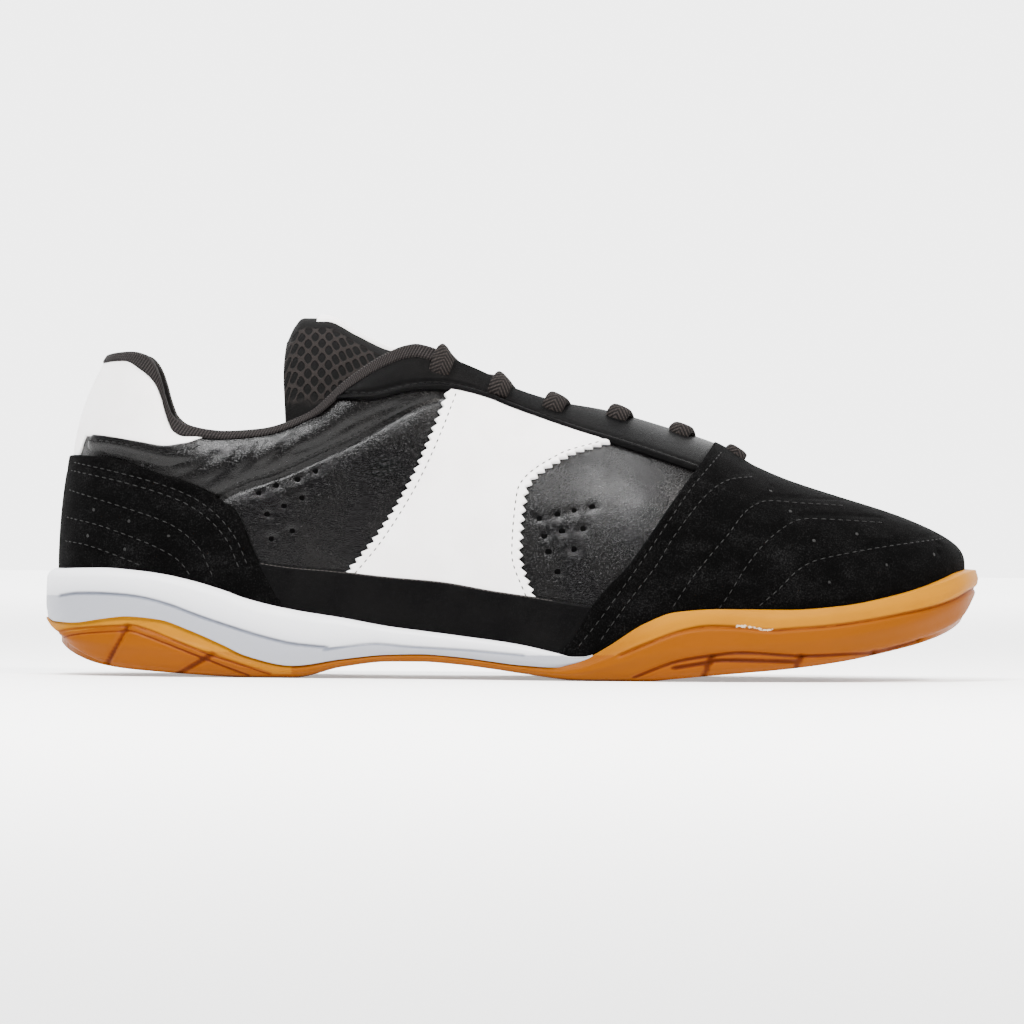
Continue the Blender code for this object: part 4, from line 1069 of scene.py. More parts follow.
low = height_turn(ring, TAB_BOTTOM(rim_x) - 5.5 * MM)
high = height_turn(ring, TAB_BOTTOM(rim_x) + 0.6 * MM)
strip = panel("collar_edge_leather", ring, low, high, black_leather, 26, ply=0.8 * MM,
              soft=0.7 * MM, extra=strip_fall)


# %% [markdown]
# ## The white saddle
# A white ply crosses the quarter on each side, waisted in the middle. Pinking shears cut
# its rear and front edges into small teeth, so each row of the grid ends on a tooth.

# %% Saddle with pinked edges
# columns: height, rear, front
SADDLE = np.array([(-0.020, 0.318, 0.528), (0.110, 0.352, 0.511), (0.290, 0.392, 0.516),
                   (0.440, 0.416, 0.560), (0.530, 0.428, 0.610)])
TOOTH_PITCH, TOOTH_DEPTH = 2.7 * MM, 1.4 * MM
REAR, FRONT = curve(SADDLE[:, 0], SADDLE[:, 1]), curve(SADDLE[:, 0], SADDLE[:, 2])


def saddle_height(t, x):
    """The height of a row of the saddle, from under the band to under the eyestay."""
    low, high = BAND_TOP(x) - 1.5 * MM, EYESTAY_LOW(x) + 1.0 * MM
    return low + (high - low) * t


def saddle_edge(edge, t):
    return edge(SADDLE[0, 0] + (SADDLE[-1, 0] - SADDLE[0, 0]) * t) * LENGTH


def tooth(t, edge):
    """How far the pinked edge is cut back at a share of its height."""
    x = saddle_edge(edge, t)
    z = saddle_height(t, x)
    length = np.append(0, np.cumsum(np.hypot(np.diff(x), np.diff(z))))
    part = length / TOOTH_PITCH % 1.0
    return TOOTH_DEPTH * np.abs(2 * part - 1)


def saddle(name, side, rows=260, columns=56):
    t = np.linspace(0, 1, rows)
    rear = saddle_edge(REAR, t) + tooth(t, REAR)
    front = saddle_edge(FRONT, t) - tooth(t, FRONT)
    x = (rear[:, None] + (front - rear)[:, None] * eased(columns)).ravel()
    ring = ring_of((x / LENGTH).tolist(), side)
    turn = height_turn(ring, saddle_height(np.repeat(t, columns), x))[:, None]
    flat = skin(ring, turn, 0.3 * MM).reshape(rows, columns, 3)
    border = np.concatenate([dense(flat[:, 0]), dense(flat[:, -1])])
    inset = np.clip(distance_to(border, flat) / (0.7 * MM), 0, 1)
    stitched = np.concatenate([seam_at(flat, k) for k in (0, -1)])
    lift = 1.0 * MM * rounded(inset) + trough(stitched, flat, 0.7 * MM, 0.22 * MM) * inset
    top = skin(ring, turn, 0.3 * MM + lift.reshape(-1, 1)).reshape(-1, 3)
    under = skin(ring, turn, -0.3 * MM).reshape(-1, 3)
    made = piece(name, np.concatenate([top, under]), sheet_faces(rows, columns), white_leather)
    return made


def seam_at(flat, k):
    """The row of stitches along one pinked edge, a little inside the teeth."""
    line = flat[:, k]
    inward = flat[:, flat.shape[1] // 2] - line
    inward /= np.linalg.norm(inward, axis=1)[:, None]
    reach = 20
    kernel = np.ones(2 * reach + 1) / (2 * reach + 1)
    padded = np.pad(line, ((reach, reach), (0, 0)), "edge")
    smooth = np.stack([np.convolve(padded[:, i], kernel, "valid") for i in range(3)], axis=1)
    return smooth + inward * 2.3 * MM


saddles = {}
for name, side in SIDES:
    saddles[side] = saddle("saddle_" + name + "_leather", side)
    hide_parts("saddle_" + name)
print("saddle:", len(saddles[LATERAL].data.polygons), "faces")


# %% [markdown]
# ## The binding
# A ribbed tape is folded over the collar's edge. Its section is a flattened loop round the
# top of the wall, swept along the edge. The tape's ribs come from its material.

# %% Binding round the collar
def binding():
    ring = heel_ring(BINDING_END, 0.9 * MM)
    rim, x = rim_turn(ring)[:, None], section(ring).rim_x[:, None]
    tab_part, front = 1 - fade(x, 50 * MM, 55 * MM), fade(x, 80 * MM, 86 * MM)
    slope_part = fade(x, 25 * MM, 32 * MM) * (1 - fade(x, 38 * MM, 50 * MM))
    wide = 2.5 * MM + 2.4 * MM * slope_part + 1.3 * MM * front
    lift = 1.0 * MM + 1.1 * MM * np.maximum(0.4 * tab_part, front)
    up = skin(ring, rim) - skin(ring, rim - 0.02)
    step = np.linalg.norm(up, axis=2)
    slope, up = 0.02 / step, up / step[:, :, None]
    t = np.linspace(0, 1, 14)[None, :]
    edge = rounded(t * wide / (0.9 * MM))
    outer = skin(ring, rim - (1 - t) * wide * slope, lift * edge - 0.3 * MM * (1 - edge))
    s = np.linspace(0, 3.0, 7)[None, :]
    collar = 1 - fade(ring.spine[:, :1] / LENGTH, 0.30, 0.42)
    depth = UPPER_WALL + collar * (1.06 + 0.15 * s) * MM + 0.7 * MM
    inner = upper_point(ring, rim - s * MM * slope, -depth)
    first, last = outer[:, -1:], inner[:, :1]
    angle = np.linspace(0, math.pi, 12)[None, 1:-1, None]
    arc = ((first + last) / 2 + (first - last) / 2 * np.cos(angle)
           + up * 1.5 * MM * np.sin(angle))
    grid = np.concatenate([outer, arc, inner], axis=1)
    along = np.append(0, np.cumsum(np.linalg.norm(np.diff(grid[:, 13], axis=0), axis=1))) / MM
    gaps = np.linalg.norm(np.diff(grid, axis=1, prepend=grid[:, :1]), axis=2)
    around = np.cumsum(gaps, axis=1) / MM
    uv = np.stack(np.broadcast_arrays(along[:, None], around - around[:, 13:14]), axis=-1)
    return loop_piece("collar_binding_tape", grid, collar_tape, wrap=False, uv=uv)


tape = binding()
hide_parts("collar_binding")
print("binding:", len(tape.data.polygons), "faces")


# %% [markdown]
# ## The tongue
# The tongue is a padded vault under the throat. Its sides are spacer mesh, and a plain
# band runs over its crown. It is made section by section, as a pad whose faces draw
# together at its edges.

# %% Tongue
# columns: x, ridge, depth
TONGUE = np.array([(0.259, 1.010, 0.16), (0.264, 1.075, 0.17), (0.274, 1.118, 0.18),
                   (0.298, 1.118, 0.20), (0.332, 1.050, 0.24), (0.364, 0.985, 0.26),
                   (0.400, 0.955, 0.26), (0.431, 0.915, 0.22)])
TONGUE_RIDGE, TONGUE_DEPTH = (curve(TONGUE[:, 0], TONGUE[:, k]) for k in (1, 2))
TONGUE_REAR, TONGUE_CLEAR, TONGUE_SEAM, TONGUE_THICK = 0.2588, 2.0 * MM, 0.4 * MM, 4.6 * MM


def tongue_free(share):
    """1 where the tongue stands free of the throat, 0 where it lies under it."""
    return 1 - fade(share, 0.36, 0.45)


def tongue_clear(share):
    """The room between tongue and upper, down to the seam at its front end."""
    return TONGUE_CLEAR + (TONGUE_SEAM - TONGUE_CLEAR) * fade(share, 0.60, 0.74)


def crown_height(share):
    """The top of the tongue at a share of the length."""
    free = tongue_free(share)
    sunk = tongue_clear(share) + UPPER_WALL * fade(share, 0.505, 0.70)
    under = shell_top(share * LENGTH) - sunk
    return upper_height(TONGUE_RIDGE(share)) * free + under * (1 - free)


def tongue_section(share, deep, half_count):
    """One row of the tongue, wing to wing, at a depth under its outer face."""
    collar_z = shell_top(share * LENGTH)
    free, clear, crown = tongue_free(share), tongue_clear(share), crown_height(share)
    wing_z = collar_z - UPPER_RISE * TONGUE_DEPTH(share)
    halves = []
    for side in (LATERAL, MEDIAL):
        ring = ring_of([share], side)
        at = Section(*(v[0] for v in section(ring)))
        vault = crown - at.foot
        pad = 2.6 * MM * (1 - fade(share, 0.30, 0.42))
        wing_y = at.half * at.opening - UPPER_WALL - pad - TONGUE_CLEAR
        level = np.clip((collar_z - at.foot) / vault, 0.05, 0.97)
        narrow = wing_y / (1 - level**at.exponent) ** (1 / at.exponent)
        limit = at.half - UPPER_WALL - 2 * clear
        width = min(narrow, limit) * free + limit * (1 - free)
        low = math.asin(min((wing_z - at.foot) / vault, 0.98) ** (at.exponent / 2))
        turn = np.linspace(low, math.pi / 2, half_count)
        out = np.maximum(np.cos(turn), 1e-9) ** (2 / at.exponent)
        out[-1] = 0.0
        up = np.sin(turn) ** (2 / at.exponent)
        normal = np.stack([out ** (at.exponent - 1) / width, up ** (at.exponent - 1) / vault],
                          axis=1)
        normal /= np.linalg.norm(normal, axis=1)[:, None]
        full = rounded(np.linspace(0, 1, half_count) / 0.12)
        depth = deep * full - 0.9 * MM * full * (deep == 0)
        y = ring.spine[0, 1] + side * (width * out - depth * normal[:, 0])
        z = at.foot + vault * up - depth * normal[:, 1]
        halves.append(np.stack([np.full(half_count, ring.spine[0, 0]), y, z], axis=1))
    return np.concatenate([halves[0], halves[1][-2::-1]])


def tongue(half_count=40):
    shares = np.concatenate([TONGUE_REAR + 0.010 * np.linspace(0, 1, 14) ** 1.6,
                             np.linspace(0.271, 0.47, 60), np.linspace(0.48, 0.740, 30)])
    end = np.clip((shares - TONGUE_REAR) / 0.018, 0, 1)
    thick = TONGUE_THICK * (0.16 + 0.84 * rounded(end))
    outer = np.array([tongue_section(s, 0.0, half_count) for s in shares])
    inner = np.array([tongue_section(s, t, half_count) for s, t in zip(shares, thick)])
    for rows in (outer, inner):
        bulge = np.sin(math.pi * np.clip((rows[..., 2] / MM - 78) / 29, 0, 1))
        rows[..., 0] -= 1.4 * MM * bulge * (1 - end)[:, None]
    grid = np.concatenate([outer, inner[:, ::-1]], axis=1)
    middle = outer[:, half_count - 1]
    gaps = np.linalg.norm(np.diff(outer, axis=1, prepend=outer[:, :1]), axis=2)
    around = np.cumsum(gaps, axis=1)
    around -= around[:, half_count - 1:half_count]
    along = outer[:, :, 0] / MM
    uv_outer = np.stack([along, around / MM], axis=-1)
    uv = np.concatenate([uv_outer, uv_outer[:, ::-1]], axis=1)
    below = middle[:, None, 2] - outer[:, :, 2]
    band = 1 - fade(below, 3.0 * MM, 3.6 * MM)
    low = 1 - fade(outer[:, :, 2], 83.0 * MM, 84.2 * MM)
    plain = np.maximum(band, low)
    plain = np.concatenate([plain, np.ones(plain.shape)], axis=1)
    made = loop_piece("tongue_pad", grid, mesh_cloth, wrap=False, uv=uv,
                      values={"plain": plain})
    return made


def patch():
    """A plain white patch sewn on the crown."""
    shares = np.linspace(0.288, 0.372, 44)
    rows = np.array([tongue_section(s, 0.0, 90)[75:104] for s in shares])
    border = np.concatenate([dense(rows[:, 0]), dense(rows[:, -1]), dense(rows[0]),
                             dense(rows[-1])])
    lift = 0.9 * MM * rounded(distance_to(border, rows) / (0.9 * MM))
    top, under = rows.copy(), rows.copy()
    top[:, :, 2] += 0.15 * MM + lift
    under[:, :, 2] -= 0.3 * MM
    points = np.concatenate([top.reshape(-1, 3), under.reshape(-1, 3)])
    return piece("tongue_patch", points, sheet_faces(len(shares), rows.shape[1]), white_leather)


white_patch = patch()
pad = tongue()
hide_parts("tongue")
print("tongue:", len(pad.data.polygons), "faces")


# %% [markdown]
# ## The lace
# One flat lace crosses from side to side. Each run comes up through an eyelet, bends over
# the edge of the throat, crosses the tongue and goes in under the other side. Its ends
# stop inside, at the top eyelets.

# %% Lace runs
def throat_spot(share, side, past, lift):
    """A point and its normal over or under the facing, some way past the throat's edge."""
    found = []
    for place in (share, share + 0.004):
        ring = ring_of([place], side)
        at = Section(*(v[0] for v in section(ring)))
        turn = np.arccos(min(at.opening + past / at.half, 1) ** (at.exponent / 2))
        for away in (0.0, MM):
            found.append(upper_point(ring, np.array([[turn]]), np.array([[away]]))[0, 0])
    normal = (found[1] - found[0]) / MM
    along = found[2] - found[0]
    normal -= along * np.dot(normal, along) / np.dot(along, along)
    return found[0] + normal * lift, normal


def smooth_path(points, count):
    points = np.array(points)
    at = np.linspace(0, len(points) - 1, count)
    padded = extended(points)
    i = np.minimum(at.astype(int), len(points) - 2)
    return spline(*(padded[i + k] for k in range(4)), (at - i)[:, None])


def ribbon(points, normals, width, thick):
    """A flat woven band with rounded edges along some points: its grid and its UV map."""
    along = np.gradient(points, axis=0)
    length = np.linalg.norm(along, axis=1)
    along /= length[:, None]
    side = np.cross(along, normals)
    side /= np.linalg.norm(side, axis=1)[:, None]
    up = np.cross(side, along)
    angle = np.linspace(0, 2 * math.pi, 20, endpoint=False)
    c, s = np.cos(angle), np.sin(angle)
    c, s = np.sign(c) * np.abs(c) ** 0.7, np.sign(s) * np.abs(s) ** 0.6
    grid = (points[:, None] + side[:, None] * (width[:, None] * c / 2)[:, :, None]
            + up[:, None] * (thick[:, None] * s / 2)[:, :, None])
    run_length = np.cumsum(length)[:, None] / MM
    uv = np.stack(np.broadcast_arrays(run_length, c * 3.0 + (s < 0) * 7), axis=-1)
    return grid, uv


LACE_WIDTH, LACE_THICK = 6.3 * MM, 1.7 * MM


def bump_knots(share, side, lean):
    """Up through an eyelet and over the throat's edge."""
    short = 0.60 if share < 0.45 else 0.82
    return [throat_spot(share, side, 4.9 * MM * short, -1.8 * MM),
            throat_spot(share, side, 4.5 * MM * short, 1.1 * MM),
            throat_spot(share + lean * 0.3, side, 2.4 * MM * short, 2.7 * MM),
            throat_spot(share + lean * 0.9, side, -0.4 * MM, 2.3 * MM)]


def lace_run(start, end, side, lift):
    """From a bump at one eyelet across the tongue, and in under the other facing."""
    lean = (end - start) * 0.12
    knots = bump_knots(start, side, lean)
    for t in (0.25, 0.5, 0.75):
        share = start + (end - start) * t
        a, b = (throat_spot(share, s, 0.0, 0.0)[0] for s in (side, -side))
        middle = a + (b - a) * t
        middle[2] = crown_height(share) + 1.2 * MM + lift
        knots.append((middle, np.array([0.35, 0, 1.0])))
    knots.append(throat_spot(end - lean, -side, -1.0 * MM, -2.6 * MM))
    knots.append(throat_spot(end - lean * 0.5, -side, 1.5 * MM, -3.4 * MM))
    knots.append(throat_spot(end, -side, 4.0 * MM, -3.4 * MM))
    return knots


def lace_path(knots, count, bends):
    """Points and normals along some knots, and how much fuller the lace is at its bends."""
    points, normals = (smooth_path([knot[k] for knot in knots], count) for k in (0, 1))
    t = np.linspace(0, 1, count)
    return points, normals, sum(np.exp(-((t - bend) / 0.10) ** 2) for bend in bends)


lace_paths = []
for start, end in zip(EYELETS, EYELETS[1:]):
    for side, lift in ((LATERAL, 0.6 * MM), (MEDIAL, -0.3 * MM)):
        lace_paths.append(lace_path(lace_run(start, end, side, lift), 72, [0.22]))
front = bump_knots(EYELETS[-1], LATERAL, 0.0) + bump_knots(EYELETS[-1], MEDIAL, 0.0)[::-1]
lace_paths.append(lace_path(front, 60, [0.27, 0.73]))
lengths = [np.linalg.norm(np.diff(path[0], axis=0), axis=1).sum() for path in lace_paths]
print("lace runs in millimetres:", np.round(np.array(lengths) / MM, 1).tolist())
for i, (points, normals, full) in enumerate(lace_paths):
    grid, uv = ribbon(points, normals, LACE_WIDTH + 0.4 * MM * full,
                      LACE_THICK + 1.2 * MM * full)
    made = loop_piece(f"lace_run_{i:02d}", grid, lace_cloth, wrap=False, uv=uv)
    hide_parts("laces")
print("lace runs:", len(lace_paths))


# %% [markdown]
# ## The sole
# The sole is moulded in two parts. White foam forms a wedge under the heel and a cup round
# it. Gum rubber is the tread, and in front it rises as a cup of its own. Both are rings of
# points round the middle line: out under the foot, up the wall, over the lip and back in.
# Parting lines, facets and the grooves between lugs are cut into the wall from the side.

# %% Grooves and facets of the wall
GUM_RIDGE = [(286, 29), (282.2, 27.5), (277.1, 24.9), (268.5, 22.3), (251.4, 18.9),
             (238.5, 17.0), (225.4, 15.9), (219.6, 15.6), (208.2, 16.5), (199.7, 16.5),
             (191.1, 14.5), (182.6, 11.2), (174.9, 7.8)]
GUM_LOW = [(179.2, 1.4), (191.1, 6.0), (202.4, 8.1), (212.5, 9.0), (229.0, 8.1),
           (242.8, 8.7), (252.0, 9.3), (265.7, 12.4), (277.1, 15.4), (283, 18.5)]
GUM_LOW_2 = [(191.1, 4.2), (200.9, 5.8), (206, 6.6), (227.5, 6.3)]
GUM_CUTS = [
    [(202.4, 7.8), (199.7, 0.6)], [(229.4, 8.1), (226.8, 1.0)],
    [(252.0, 9.3), (250.4, 4.5)], [(266.4, 12.4), (265.0, 7.5)],
    [(26.0, 15.1), (18.5, 1.5)], [(52.2, 7.0), (41.0, 0.5)],
]
HEEL_LINES = [[(2.0, 12.6), (10, 14.2), (24.2, 15.2), (31, 14.6), (50.2, 7.4), (69.7, 1.2)],
              [(4.5, 11.0), (11, 12.6), (24.0, 13.6), (30, 13.0), (49.2, 5.9), (63, 0.8)]]
FOAM_GROOVE = [(5.0, 24.2), (10.3, 25.0), (19.7, 25.0), (29.1, 24.2), (38.4, 22.0),
               (47.8, 18.6), (57.2, 15.5), (66.5, 12.7), (75.9, 10.5), (86.5, 9.4)]
FOAM_LIP = [(86.2, 8.6), (94.2, 9.9), (101.8, 10.6), (112, 9.8), (128, 9.0), (146, 7.6)]
HEEL_FACET = [(2, 12.6), (24, 15.2), (31, 14.6), (50, 7.4), (70, 1.2)]


def line_height(pairs, x):
    """The height of a measured side line at some x."""
    at, height = np.array(pairs).T * MM
    return np.interp(x, at, height)


def side_distance(runs, points):
    """Distance, seen from the side, from some measured lines."""
    traced = np.concatenate([run(pairs, 0.3 * MM) for pairs in runs])
    lines = np.stack([traced[:, 0], np.zeros(len(traced)), traced[:, 1]], axis=1)
    return distance_to(lines, points * np.array([1.0, 0.0, 1.0]))


def cut(runs, points, width, depth):
    return depth * np.exp(-((side_distance(runs, points) / width) ** 2))


GUM_LINE, GUM_SWELL, GLUE_REACH = 0.55 * MM, 0.5 * MM, 0.9 * MM
GUM_WALL = curve([0, 0.10, 0.27, 0.48, 0.67, 0.74, 1.0], [1.0, 0.46, 0.21, 0.0, 0.03, 0.14, 0.33])
FOAM_WALL = curve([0, 0.30, 0.82, 0.94, 1.0], [0.12, 0.0, 0.04, 0.20, 0.50])


def wall_rows(ring, low, high, profile, count):
    """Rows up a wall between two heights, set in by a profile."""
    share = np.linspace(0, 1, count)
    x = station_x(ring)
    z = low(x)[:, None] + (high(x) - low(x))[:, None] * share
    inset = np.broadcast_to(profile(share) * EDGE_ROUND, z.shape)
    return inset, z


def ring_rows(ring, inset, z):
    away = ring.reach[:, None] - inset
    plan = ring.spine[:, None] + ring.way[:, None] * away[:, :, None]
    return np.concatenate([plan, z[:, :, None]], axis=2)


def lip_rows(ring, outer, inner, z, rise, shares):
    """Rows over the lip of a wall, from its outer inset to its inner one."""
    level = np.zeros((len(z), 1))
    return [ring_rows(ring, level + outer * (1 - k) + inner * k,
                      z + rise * math.sin(math.pi * k)) for k in shares]


def flat_rows(ring, shares, inset, height):
    """Rows across a flat face, from the middle line at 0 to the inset edge at 1."""
    away = (ring.reach - inset)[:, None] * np.array(shares)
    plan = ring.spine[:, None] + ring.way[:, None] * away[:, :, None]
    return np.concatenate([plan, height(plan[..., 0])[:, :, None]], axis=2)


def tread(x):
    return SOLE_HEIGHT * TREAD(x / LENGTH)


def gum_height(x):
    return SOLE_HEIGHT * GUM(x / LENGTH)


def bed(x):
    return SOLE_HEIGHT * BED(x / LENGTH)


# %% Gum outsole
GLUE = [(209.5, 16.9), (212.0, 16.8), (216.0, 16.2), (220.5, 15.8)]


def outsole():
    ring = whole_ring(0.9 * MM, fan(58), fan(56)[::-1])
    inset, z = wall_rows(ring, tread, gum_height, GUM_WALL, 84)
    rough = ring_rows(ring, inset, z)
    x, height = rough[..., 0], rough[..., 2]
    ridge = cut([GUM_RIDGE], rough, GUM_LINE, 0.75 * MM)
    low = cut([GUM_LOW, GUM_LOW_2], rough, GUM_LINE, 0.70 * MM)
    cuts = cut(GUM_CUTS, rough, 0.80 * MM, 1.0 * MM)
    lines = cut(HEEL_LINES, rough, 0.40 * MM, 0.45 * MM)
    span = np.clip((z - z[:, :1]) / np.maximum(z[:, -1:] - z[:, :1], 1e-6), 0, 1)
    room = np.clip((z[:, -1:] - z[:, :1]) / (6 * MM), 0, 1)
    past = side_distance([GUM_RIDGE], rough) - 3 * MM
    swell = GUM_SWELL * np.exp(-(past / (2 * MM)) ** 2)
    above = height > line_height(GUM_RIDGE[::-1], x)
    front = fade(x, 170 * MM, 190 * MM)
    toe = fade(x, 0.93 * LENGTH, 0.985 * LENGTH)
    inset = inset * (1 - 0.75 * toe)
    inset = inset + (ridge + low + cuts + lines) * room - swell * above * front * room
    wall = ring_rows(ring, inset, z)
    # Painted shade and light for the gum's colour: darker in the grooves and cuts, on the lower
    # facets and below the low line, lighter towards the top of the wall above the ridge.
    groove = np.clip((ridge / 0.75 + low / 0.5 + cuts / 0.9 + lines / 0.45) / MM, 0, 1)
    under = height < line_height(HEEL_FACET, x)
    lower = height < line_height(GUM_LOW, x)
    facet_shade = np.where(x < 76 * MM, under * 0.40,
                     0.22 * (1 - above * front) + 0.25 * lower * front)
    painted_shading = np.clip(0.18 + facet_shade + 0.55 * groove - 0.18 * span * above, 0, 1)
    bottom = flat_rows(ring, np.linspace(0, 1, 14), EDGE_ROUND + 0.3 * MM, tread)
    rim_inset = RIM_WALL + (CUP_WALL + 1.2 * MM - RIM_WALL) * fade(ring.edge[:, 0] / LENGTH,
                                                                  0.5725, 0.5775)
    lip = lip_rows(ring, EDGE_ROUND * 0.33, rim_inset[:, None], z[:, -1:], 0.25 * MM,
                   (0.3, 0.6, 1.0))

    def plate(x):
        thin = np.minimum(tread(x) + TREAD_PLATE, gum_height(x) - GAP)
        return np.where(x < MIDSOLE_FRONT * LENGTH + GAP, thin, bed(x))

    top = flat_rows(ring, np.linspace(1, 0, 10), rim_inset, plate)
    grid = np.concatenate([bottom, wall, *lip, top], axis=1)
    # The bottom gets a darker value and the lip and top a light one: painted shade under the
    # sole, painted light on its lip.
    painted_shading_grid = np.full(grid.shape[:2], 0.35)
    first = bottom.shape[1]
    painted_shading_grid[:, first:first + painted_shading.shape[1]] = painted_shading
    painted_shading_grid[:, first + painted_shading.shape[1]:] = 0.05
    near = distance_to(both_sides(tree_of_grid(wall), [GLUE]), grid)
    glue = 0.8 * np.exp(-((near / GLUE_REACH) ** 2)) * (grid[..., 1] < 0)
    return piece("outsole_gum", grid, quads(numbered(grid), True), gum,
                 values={"painted_shading": painted_shading_grid, "glue": glue})


sole = outsole()
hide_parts("outsole")
print("outsole:", len(sole.data.polygons), "faces")


# %% Foam midsole
def midsole():
    ring = heel_ring(FOAM_END, 0.9 * MM)
    inset, z = wall_rows(ring, lambda x: gum_height(x) - 0.2 * MM, wall_height, FOAM_WALL, 56)
    rough = ring_rows(ring, inset, z)
    x, height = rough[..., 0], rough[..., 2]
    line = cut([FOAM_GROOVE], rough, 0.42 * MM, 0.65 * MM)
    lip = cut([FOAM_LIP], rough, 0.40 * MM, 0.35 * MM)
    room = np.clip((z[:, -1:] - z[:, :1]) / (5 * MM), 0, 1)
    tuck = 1.6 * MM * fade(x, 150 * MM, 164 * MM)
    wall = ring_rows(ring, inset + (line + lip) * room + tuck, z)
    deep = RIM_WALL + 0.1 * MM
    ledge = ring_rows(ring, np.full((len(z), 1), deep), z[:, :1])
    # The foam's painted shade: grey below the groove line, a gradient down the wall above it, and
    # darker grooves, as if lit from above.
    groove_height = line_height(FOAM_GROOVE + FOAM_LIP[1:], x)
    below = height < groove_height
    fall = (z[:, -1:] - height) / np.maximum(z[:, -1:] - groove_height, 1 * MM)
    shade = np.where(below, 0.78, 0.45 * np.clip(fall, 0, 1) ** 1.5)
    painted_shading = np.clip((line / 0.65 + lip / 0.8) / MM * room + shade, 0, 1)

    def under(x):
        return np.minimum(tread(x) + TREAD_PLATE, gum_height(x) - GAP) + 0.1 * MM

    bottom = flat_rows(ring, np.linspace(0, 1, 10), deep, under)
    lips = lip_rows(ring, EDGE_ROUND * 0.5, CUP_WALL + 1.2 * MM, z[:, -1:], 0.3 * MM,
                    (0.25, 0.5, 1.0))
    top = flat_rows(ring, np.linspace(1, 0, 10), CUP_WALL + 1.2 * MM, bed)
    grid = np.concatenate([bottom, ledge, wall, *lips, top], axis=1)
    painted_shading_grid = np.zeros(grid.shape[:2])
    first = bottom.shape[1] + ledge.shape[1]
    painted_shading_grid[:, first:first + painted_shading.shape[1]] = painted_shading
    index = numbered(grid)
    faces = quads(index) + [tuple(index[0]) + tuple(index[-1][::-1])]
    return piece("midsole_foam", grid, faces, foam, values={"painted_shading": painted_shading_grid})


wedge = midsole()
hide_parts("midsole")
print("midsole:", len(wedge.data.polygons), "faces")


# %% Insole
def insole():
    ring = whole_ring()
    inset = CUP_WALL + UPPER_WALL + 2 * GAP
    x = station_x(ring)
    rise = 1.6 * MM * (1 - fade(x, 60 * MM, 150 * MM))
    shares = np.concatenate([np.linspace(0, 0.9, 20), [0.95, 0.98, 1.0]])
    top = flat_rows(ring, shares, inset, lambda x: bed(x) + GAP + 3.5 * MM)
    top[:, :, 2] += rise[:, None] * shares**6 - 0.5 * MM * (shares > 0.99)
    below = flat_rows(ring, np.linspace(1, 0, 6), inset + 0.2 * MM, lambda x: bed(x) + GAP)
    grid = np.concatenate([top, below], axis=1)
    return piece("insole_sock", grid, quads(numbered(grid), True), sock_cloth)


sock = insole()
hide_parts("insole")
print("insole:", len(sock.data.polygons), "faces")


# %% [markdown]
# ## Stitches and holes
# A lockstitch shows as a row of short threads of one length. A Geometry Nodes tree walks
# along a traced line, sets a small rounded thread at every pitch, and turns it along the
# line. A second tree sets a punched hole at every point, square to the leather.

# %% The node tree of a stitched row
def new_tree(name, sizes):
    tree = bpy.data.node_groups.new(name, "GeometryNodeTree")
    face = tree.interface
    face.new_socket("Geometry", in_out="INPUT", socket_type="NodeSocketGeometry")
    for label in sizes:
        face.new_socket(label, in_out="INPUT", socket_type="NodeSocketFloat")
    face.new_socket("Finish", in_out="INPUT", socket_type="NodeSocketMaterial")
    face.new_socket("Geometry", in_out="OUTPUT", socket_type="NodeSocketGeometry")
    start, end = tree.nodes.new("NodeGroupInput"), tree.nodes.new("NodeGroupOutput")

    def add(kind, settings=None, values=None):
        made = tree.nodes.new(kind)
        for key, value in (settings or {}).items():
            setattr(made, key, value)
        for key, value in (values or {}).items():
            if isinstance(value, bpy.types.NodeSocket):
                tree.links.new(value, made.inputs[key])
            else:
                made.inputs[key].default_value = value
        return made

    return tree, start, end, add


def repeat(tree, start, end, add, spots, shape, turned, size):
    """One shape at every spot, made real, smooth and painted, as the tree's result."""
    placed = add("GeometryNodeInstanceOnPoints", None, {
        "Points": spots, "Instance": shape.outputs[0],
        "Rotation": turned.outputs[0], "Scale": size.outputs[0]})
    real = add("GeometryNodeRealizeInstances", None, {0: placed.outputs[0]})
    smooth = add("GeometryNodeSetShadeSmooth", None, {0: real.outputs[0]})
    painted = add("GeometryNodeSetMaterial", None, {
        "Geometry": smooth.outputs[0], "Material": start.outputs["Finish"]})
    tree.links.new(painted.outputs[0], end.inputs[0])


def stitch_tree():
    tree, start, end, add = new_tree("stitched_row", ["Pitch", "Length", "Thickness"])
    line = add("GeometryNodeMeshToCurve", None, {0: start.outputs["Geometry"]})
    spots = add("GeometryNodeResampleCurve", {"mode": "LENGTH"},
                {"Curve": line.outputs[0], "Length": start.outputs["Pitch"]})
    bead = add("GeometryNodeMeshUVSphere", None, {"Segments": 6, "Rings": 4, "Radius": 0.5})
    tangent = add("GeometryNodeInputTangent")
    turned = add("FunctionNodeAlignEulerToVector", {"axis": "X"},
                 {"Vector": tangent.outputs[0]})
    size = add("ShaderNodeCombineXYZ", None, {
        0: start.outputs["Length"], 1: start.outputs["Thickness"],
        2: start.outputs["Thickness"]})
    repeat(tree, start, end, add, spots.outputs[0], bead, turned, size)
    return tree


